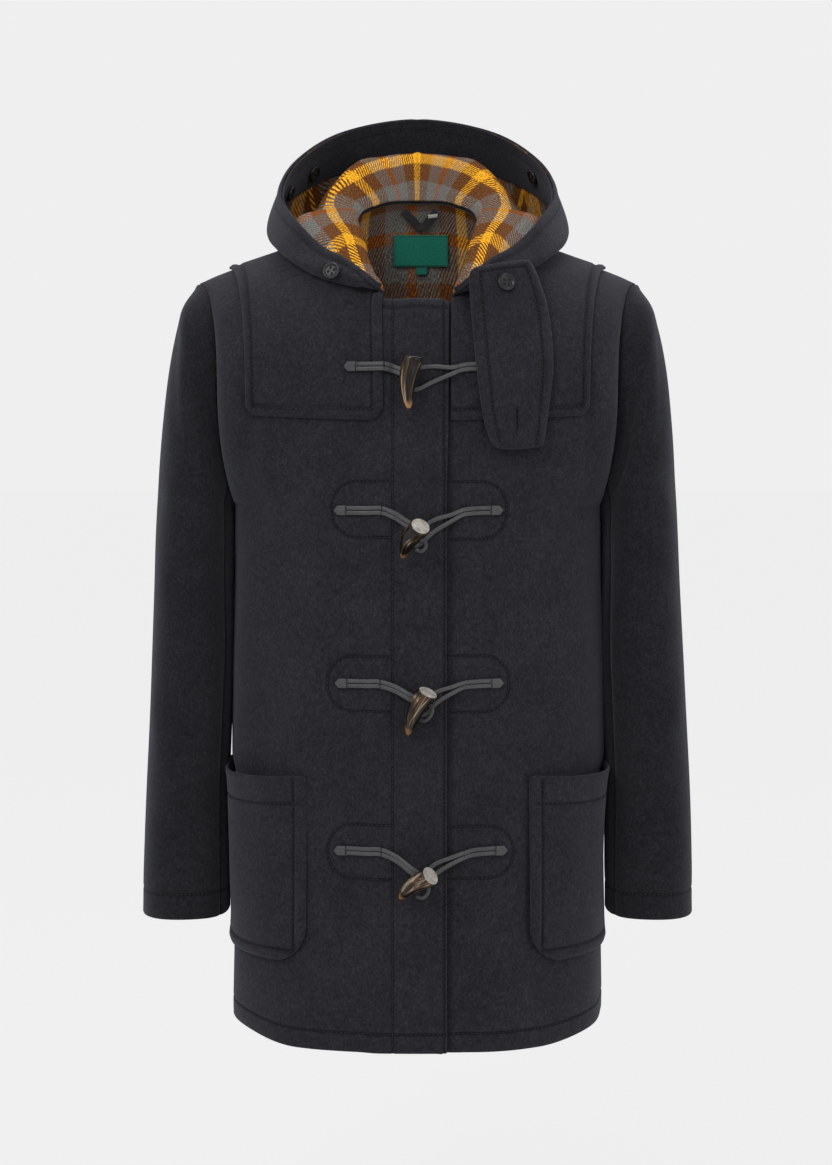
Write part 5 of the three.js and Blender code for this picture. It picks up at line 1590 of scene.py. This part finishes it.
def toggle_piece(number, row):
    """One horn toggle: a slightly bent, uneven taper with a sawn end and a blunt tip."""
    wide, tip = toggle_ends(row)
    axis = unit(tip - wide)
    bend_way = unit(np.array([1.0, 0, 0]) - axis * axis[0])
    across = unit(np.cross(axis, bend_way))
    along = np.concatenate([np.zeros(5), [0.006, 0.016, 0.03, 0.05, 0.08],
                            np.linspace(0.12, 0.96, 30), [0.98, 0.993, 1.0]])
    radius = curve_at(column(TOGGLE_PROFILE, 0), column(TOGGLE_PROFILE, 1), along)
    radius[:5] = [1.0, 3.5, 6.0, 7.8, 8.9]
    radius[5:8] = [9.4, 9.8, 10.0]
    radius[-3:] = [2.2, 1.7, 0.9]
    angle = np.linspace(0, 2 * math.pi, TOGGLE_SIDES, endpoint=False)
    rings, cloth, sawn = [], [], []
    for at, r in zip(along, radius):
        centre = wide + (tip - wide) * at - bend_way * TOGGLE_BEND * math.sin(at * math.pi)
        uneven = 1 + (0.035 * np.sin(2 * angle + number) + 0.025 * np.sin(3 * angle + 7 * at + number)
                      - 0.02) * smooth(at, 0, 0.2)
        rings.append(centre + r * uneven[:, None] * (np.cos(angle)[:, None] * bend_way
                                                     + np.sin(angle)[:, None] * across))
        cloth.append(np.stack([np.cos(angle) * 0.6 + 3.7 * number, 0 * angle + at,
                               np.sin(angle) * 0.6 - 1.9 * number], -1))
        sawn.append(np.full(TOGGLE_SIDES, 1.0 if at == 0 and r < 9.2 else 0.0))
    piece = loft(f"toggle_{number}_horn", rings, HORN, cloth, sawn)
    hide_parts(f"toggle_{number}")


def ribbon(name, route, width, thickness, material=LEATHER):
    """A flat strip with rounded edges. The route is on its back face; width may change along it."""
    route = np.asarray(route, float)
    line, length = centripetal(route, 2)
    count = max(6, int(length / RIBBON_STEP))
    line, _ = centripetal(route, count)
    shares = np.linspace(0, 1, count)
    wide = np.interp(shares, np.linspace(0, 1, len(width)), width) if np.ndim(width) else (
        np.full(count, float(width)))
    along = unit(np.gradient(line, axis=0))
    facing = np.array([0, -1.0, 0])
    out = unit(facing - along * (along @ facing)[:, None])
    across = unit(np.cross(along, out))
    angle = np.linspace(0, 2 * math.pi, 14, endpoint=False) + 0.2
    u = np.sign(np.cos(angle)) * np.abs(np.cos(angle)) ** 0.45 / 2
    v = np.sign(np.sin(angle)) * np.abs(np.sin(angle)) ** 0.6 / 2 + 0.5
    rings = (line[:, None] + across[:, None] * (u[None, :, None] * wide[:, None, None])
             + out[:, None] * (v * thickness)[None, :, None])
    # The groove value rises towards the back face; the leather paints it as shade there, the tape
    # does not read it.
    groove = np.broadcast_to(np.clip((0.62 - v) * 1.6, 0, 1) * 0.9, rings.shape[:2])
    return loft(name, rings, material, groove=groove)


def cord_route(row, line, turn):
    """Two strands side by side along a line of (x, z, out, open), joined beyond its end."""
    def placed(sign):
        x, z, out, opened = (np.array(v, float) for v in zip(*line))
        z = z + sign * opened
        return np.stack([x, cover(row, x, z) - CORD_CLEARANCE - out, z], -1)

    return np.vstack([placed(1), turn, placed(-1)[::-1]])


def right_cord(number, row):
    wide, tip = toggle_ends(row)
    axis = unit(tip - wide)
    back = unit(np.array([0, 1.0, 0]) - axis * axis[1])
    end = wide + (tip - wide) * TOGGLE_WAIST_ALONG
    end = end + back * (TOGGLE_WAIST_RADIUS + row["seat"] + STRAND_THICKNESS)
    half = STRAND_WIDTH / 2 + 0.25
    bare = float(cover(row, end[0], end[2])) - CORD_CLEARANCE
    rise = max(bare - end[1], STRAND_THICKNESS + 1.2)
    tab_z, tip_x, bend_x = row["tab_z"], row["right_tip"], row["bend_x"]
    line = [(tip_x, tab_z, 0, half), (lerp(tip_x, bend_x, 0.33), tab_z, 0, half),
            (lerp(tip_x, bend_x, 0.66), tab_z, 0, half), (bend_x, tab_z, 0, half),
            (lerp(bend_x, end[0], 0.35), lerp(tab_z, end[2], 0.25), rise * 0.3, half),
            (lerp(bend_x, end[0], 0.7), lerp(tab_z, end[2], 0.7), rise * 0.85, half),
            (end[0] - half, end[2], rise, half)]
    turn = np.array([end[0] + 1.5, bare - rise, end[2]])
    cord_piece(f"cord_right_{number}", row, line, turn, tip_x, bend_x, 1)


def left_cord(number, row):
    (wide_x, wide_z), (far_x, far_z) = row["wide"], row["tip"]
    (join_x, join_z), tab_z, tip_x = row["join"], row["tab_z"], row["left_tip"]
    half, spread = STRAND_WIDTH / 2 + 0.25, row["spread"]
    loop_x, loop_z = lerp(wide_x, far_x, 0.4), lerp(wide_z, far_z, 0.42)
    line = [(tip_x, tab_z, 0, half), (lerp(tip_x, join_x, 0.33), tab_z, 0, half),
            (lerp(tip_x, join_x, 0.66), lerp(tab_z, join_z, 0.2), 0, half),
            (join_x + 6, lerp(tab_z, join_z, 0.6), 0, half),
            (LAP_EDGE_X + 4, lerp(join_z, loop_z, 0.15), 0, half + 0.8),
            (lerp(LAP_EDGE_X, loop_x, 0.4), lerp(join_z, loop_z, 0.5), 0, lerp(half, spread, 0.65)),
            (loop_x + 4, loop_z, 0, spread), (loop_x - 3, loop_z, 0, spread * 0.8)]
    turn_x = loop_x - 3 - spread * 0.6
    turn = np.array([turn_x, float(cover(row, turn_x, loop_z)) - CORD_CLEARANCE, loop_z])
    cord_piece(f"cord_left_{number}", row, line, turn, tip_x, join_x + 3, -1)


def cord_piece(name, row, line, turn, tip_x, bar_x, way):
    """One leather cord: its strands, the pointed end sewn over them and its stitched bars."""
    tab_z = row["tab_z"]
    strands = ribbon(f"{name}_leather", cord_route(row, line, turn), STRAND_WIDTH, STRAND_THICKNESS)
    x = tip_x + way * np.array([-3.0, 0.2, 3.4, 6.6, 9.5])
    route = np.stack([x, cover(row, x, tab_z) - CORD_CLEARANCE - STRAND_THICKNESS * 0.72,
                      np.full(5, float(tab_z))], -1)
    end = ribbon(f"{name}_end", route, [0.8, 5.4, 9.4, 9.6, 9.6, 9.5, 9.5, 9.4], 1.1)
    piece = joined(f"{name}_leather", [strands, end])
    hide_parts(name)
    height = np.linspace(-4.8, 4.8, 12)
    for at, z, out in ((tip_x + way * 8.4, tab_z, 0.5), (bar_x, line[3][1], 0.1)):
        y = float(cover(row, at, z)) - CORD_CLEARANCE - STRAND_THICKNESS - out
        bar = np.stack([np.full(12, at), np.full(12, y), z + height], -1)
        sew("leather", bar, np.tile([0.0, -1.0, 0.0], (12, 1)), 1.5, 1.4, 0.5)


def end_loop(number, row):
    """The cord's small end loop that hangs out below the toggle."""
    places = np.array(row["end_loop"], float)
    y = cover(row, places[:, 0], places[:, 1]) - CORD_CLEARANCE
    rise = np.array([0, 2.5, 3.4, 2.5, 0]) + STRAND_THICKNESS + 0.4
    route = np.stack([places[:, 0], y - rise, places[:, 1]], -1)
    ribbon(f"cord_end_{number}", route, 3.4, 1.7)


# Buttons

BUTTON_SEAT, BUTTON_HOLE, BUTTON_HOLE_OFFSET, BUTTON_DISH = 1.0, 1.05, 2.3, 1.9
BUTTON_PROFILE = [  # radius, height above its back
    (9.0, 0.9), (8.95, 1.7), (8.5, 2.6), (7.7, 3.0), (6.9, 2.85), (6.2, 2.2), (5.4, 1.95),
]


def across_of(direction):
    side = unit(np.cross(direction, [0.0, 0.0, 1.0]))
    return side, unit(np.cross(side, direction))


def button_piece(node, back, direction, turn=0.0):
    """A round button with a raised rim, a dished middle with four holes, and its thread."""
    direction = unit(np.asarray(direction, float))
    side, up = across_of(direction)
    angle = np.linspace(0, 2 * math.pi, 56, endpoint=False)
    levels = [(3.0, 0.25), (8.2, 0.3), *BUTTON_PROFILE]
    levels += [(r, BUTTON_DISH) for r in np.arange(5.0, 0.3, -0.36)]
    rings = []
    for radius, height in levels:
        a, b = radius * np.cos(angle), radius * np.sin(angle)
        high = np.full_like(a, height)
        if height == BUTTON_DISH:
            for k in range(4):
                t = turn + math.pi / 4 + k * math.pi / 2
                cx, cy = (BUTTON_HOLE_OFFSET * math.sqrt(2) * f(t) for f in (math.cos, math.sin))
                inside = 1 - smooth(np.hypot(a - cx, b - cy), BUTTON_HOLE * 0.75, BUTTON_HOLE * 1.15)
                high = high - 1.5 * inside
        rings.append(back + a[:, None] * side + b[:, None] * up + high[:, None] * direction)
    piece = loft(f"{node}_body", rings, BLACK)
    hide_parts(node)
    reach = BUTTON_HOLE_OFFSET
    for k in range(2):
        t = turn + math.pi / 4 + k * math.pi / 2
        way = math.cos(t) * side + math.sin(t) * up
        share = np.linspace(-1, 1, 9)[:, None]
        line = back + direction * (2.25 + 0.25 * (1 - share**2)) + way * share * reach * 1.4
        sew("buttons", line, np.tile(direction, (9, 1)), 9, reach * 2.7, 0.4)


def hood_place(side, column_at, row_at):
    """A place on the hood's navy side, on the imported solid's grid, and the direction out of it."""
    c = column_at * HOOD_COLUMNS / SOLID_COLUMNS
    r = (row_at / SOLID_ROWS * HOOD_FINE_ROWS if row_at <= SOLID_ROWS
         else HOOD_FINE_ROWS + (row_at - SOLID_ROWS) / SOLID_FACING_ROWS * HOOD_FINE_FACING)
    i, j = int(c), int(r)
    u, v = c - i, r - j

    def mix(values):
        return lerp(lerp(values[i, j], values[i + 1, j], u),
                    lerp(values[i, j + 1], values[i + 1, j + 1], u), v)

    return mirrored(mix(HOOD_POINTS), side), mirrored(unit(mix(HOOD_NORMALS)), side)


def on_facing(side, column_at, row_at, stand_off):
    point, normal = hood_place(side, column_at, row_at)
    out = CLOTH + GAP + FACING_CLOTH + BUTTON_SEAT + stand_off
    return point - normal * out, -normal


def oval_tab():
    """The small padded oval under the lower facing button."""
    back, direction = on_facing(RIGHT, 11.7, 12.9, 0)
    side, up = across_of(direction)
    angle = np.linspace(0, 2 * math.pi, 48, endpoint=False)
    levels = [(0.5, 0.1), (0.9, 0.1), (0.985, 0.5), (1.0, 1.1), (0.985, 1.7), (0.94, 2.1),
              (0.86, 2.15), (0.8, 1.9), (0.74, 1.75), (0.68, 1.9), (0.5, 2.0), (0.2, 2.0)]
    rings = [back + share * 13 * np.cos(angle)[:, None] * side
             + share * 10 * np.sin(angle)[:, None] * up + high * direction
             for share, high in levels]
    groove = [np.full(48, 1.0 if share == 0.74 else 0.0) for share, _ in levels]
    piece = loft("hood_tab_cloth", rings, MELTON, groove=groove)
    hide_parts("hood_tab")
    line = np.array([back + 0.77 * 13 * math.cos(a) * side + 0.77 * 10 * math.sin(a) * up
                     + 1.95 * direction for a in np.linspace(0, 2 * math.pi, 60)])
    sew("buttons", line, np.tile(direction, (60, 1)), 3.4, 2.5, 0.32)


# Labels and hanger loop

def back_inner(x, z, out):
    """Places on the inner face of the back, seen from the front, and the direction out of it."""
    x, z = np.broadcast_arrays(np.asarray(x, float), np.asarray(z, float))
    s, t = panel_place("back", np.abs(x), z)
    flip = np.where(x < 0, -1.0, 1.0)[..., None] * np.array([1, 0, 0]) + np.array([0, 1, 1])
    normal = -body_normal("back", s, t) * flip
    return body_point("back", s, t) * flip + normal * (CLOTH + out), normal


def sewn_label(node, centre_x, top, bottom, half_width, thickness, material, edge=1.0):
    x = np.linspace(centre_x - half_width, centre_x + half_width, 44)
    z = np.linspace(bottom, top, 30)
    x, z = np.meshgrid(x, z, indexing="ij")
    p, n = back_inner(x, z, 2.4 + thickness)
    border = np.minimum(half_width - np.abs(x - centre_x), np.minimum(top - z, z - bottom))
    ripple = 0.25 * np.sin(x / 5.0) * bell(z - bottom, 6)
    groove = bell(border - edge, 0.5)
    p = p + n * (ripple - 0.15 * groove)[..., None]
    piece = shell(f"{node}_cloth", [patch(p, n, np.stack([x, z, 0 * x], -1) * MM, groove)],
                  thickness, "label_cloth", material, None, [node])
    for row in (-2, 1):
        sew(node, p[2:-2, row], n[2:-2, row], 2.2, 1.6, 0.2)
    return piece


def hanger_loop_piece():
    left_x, right_x, apex_x, top_z, apex_z = -16, 22, 4, 27, 9
    route = [(left_x, top_z), (lerp(left_x, apex_x, 0.5), lerp(top_z, apex_z, 0.55)),
             (apex_x - 3, apex_z + 0.6), (apex_x + 3, apex_z + 0.6),
             (lerp(right_x, apex_x, 0.5), lerp(top_z, apex_z, 0.55)), (right_x, top_z)]
    x, z = (np.array(v, float) for v in zip(*route))
    piece = ribbon("hanger_loop_tape", back_inner(x, z, 3.5)[0], 9.0, 1.1, TAPE)
    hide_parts("hanger_loop")


def pale_tab():
    """A short bare tab of pale tape beside the hanger loop."""
    x, z = np.meshgrid(np.linspace(11.5, 22.5, 12), np.linspace(20.5, 24.5, 6), indexing="ij")
    p, n = back_inner(x, z + (x - 17) * 0.12, 6.2)
    shell("care_tab", [patch(p, n, np.stack([x, z, 0 * x], -1) * MM)], 0.7, "label_cloth",
          PALE_TAPE)


# The whole coat

CUTS = [  # node, width and length in metres, area in square metres, how held, what it lies on
    ("front_right", 0.345, 0.900, 0.265, "hung", ["back"]),
    ("front_left", 0.350, 0.900, 0.270, "hung", ["back"]),
    ("back", 0.640, 0.900, 0.500, "hung", ["front_right", "front_left"]),
    ("yoke", 0.460, 0.420, 0.150, "laid", ["back", "front_right", "front_left"]),
    ("pocket_{}", 0.210, 0.195, 0.038, "laid", ["front_{}"]),
    ("hood_{}", 0.360, 0.360, 0.112, "draped", ["back", "yoke"]),
    ("hood_facing_{}", 0.400, 0.050, 0.0195, "laid", ["hood_{}"]),
    ("sleeve_{}_top", 0.380, 0.660, 0.200, "hung", ["back"]),
    ("sleeve_{}_under", 0.100, 0.560, 0.046, "hung", ["sleeve_{}_top"]),
    ("throat_tab", 0.078, 0.195, 0.0150, "laid", ["yoke"]),
    ("neck_label", 0.063, 0.036, 0.0022, "laid", ["back"]),
    ("size_tab", 0.012, 0.010, 0.0001, "laid", ["back"]),
]


def dress():
    make_camera()
    make_floor()
    make_light()
    for side, name in NAMES.items():
        front_panel(side)
        pocket_piece(side)
        hood_half(side)
        facing_piece(side)
        for part in ("top", "under"):
            sleeve_piece(side, part)
    back_panel()
    yoke_piece()
    throat_tab_piece()
    sew_fronts()

    for number, row in enumerate(FASTENINGS, 1):
        toggle_piece(number, row)
        right_cord(number, row)
        left_cord(number, row)
        if "end_loop" in row:
            end_loop(number, row)

    tab_normal = throat_tab_normal(np.array(0.5), np.array(0.17))
    button_piece("button_throat", throat_tab_point(0.5, 0.17) + tab_normal * (GAP + 0.9),
                 tab_normal, 0.1)
    point, normal = hood_place(RIGHT, 4.5, 13)
    button_piece("button_hood_front", point + normal * (BUTTON_SEAT + 1.0), normal, 0.5)
    for node, place, turn in (("button_hood_right", (RIGHT, 13, 12.8, GAP), 0.2),
                              ("button_hood_tab", (RIGHT, 11.7, 12.9, 2 + GAP), 0.7),
                              ("button_hood_left", (LEFT, 12.4, 13.1, GAP), -0.2)):
        button_piece(node, *on_facing(*place), turn)
    oval_tab()

    sewn_label("neck_label", 4, 0, -34, 30.5, 0.8, LABEL)
    sewn_label("size_tab", 4.5, -34.6, -43, 6, 0.8, LABEL, 0.6)
    hanger_loop_piece()
    pale_tab()

    for key in THREADS:
        slot = {"leather": "leather", "buttons": "button"}.get(key, "melton")
        material = BLACK_THREAD if slot == "leather" else NAVY_THREAD
        make_threads(key, f"stitches_{key}", material, slot)
    for form, width, length, area, held, below in CUTS:
        for name in NAMES.values() if "{}" in form else [""]:
            node = form.format(name)
            rests_on = [f"{under.format(name)}_cloth" for under in below]


dress()
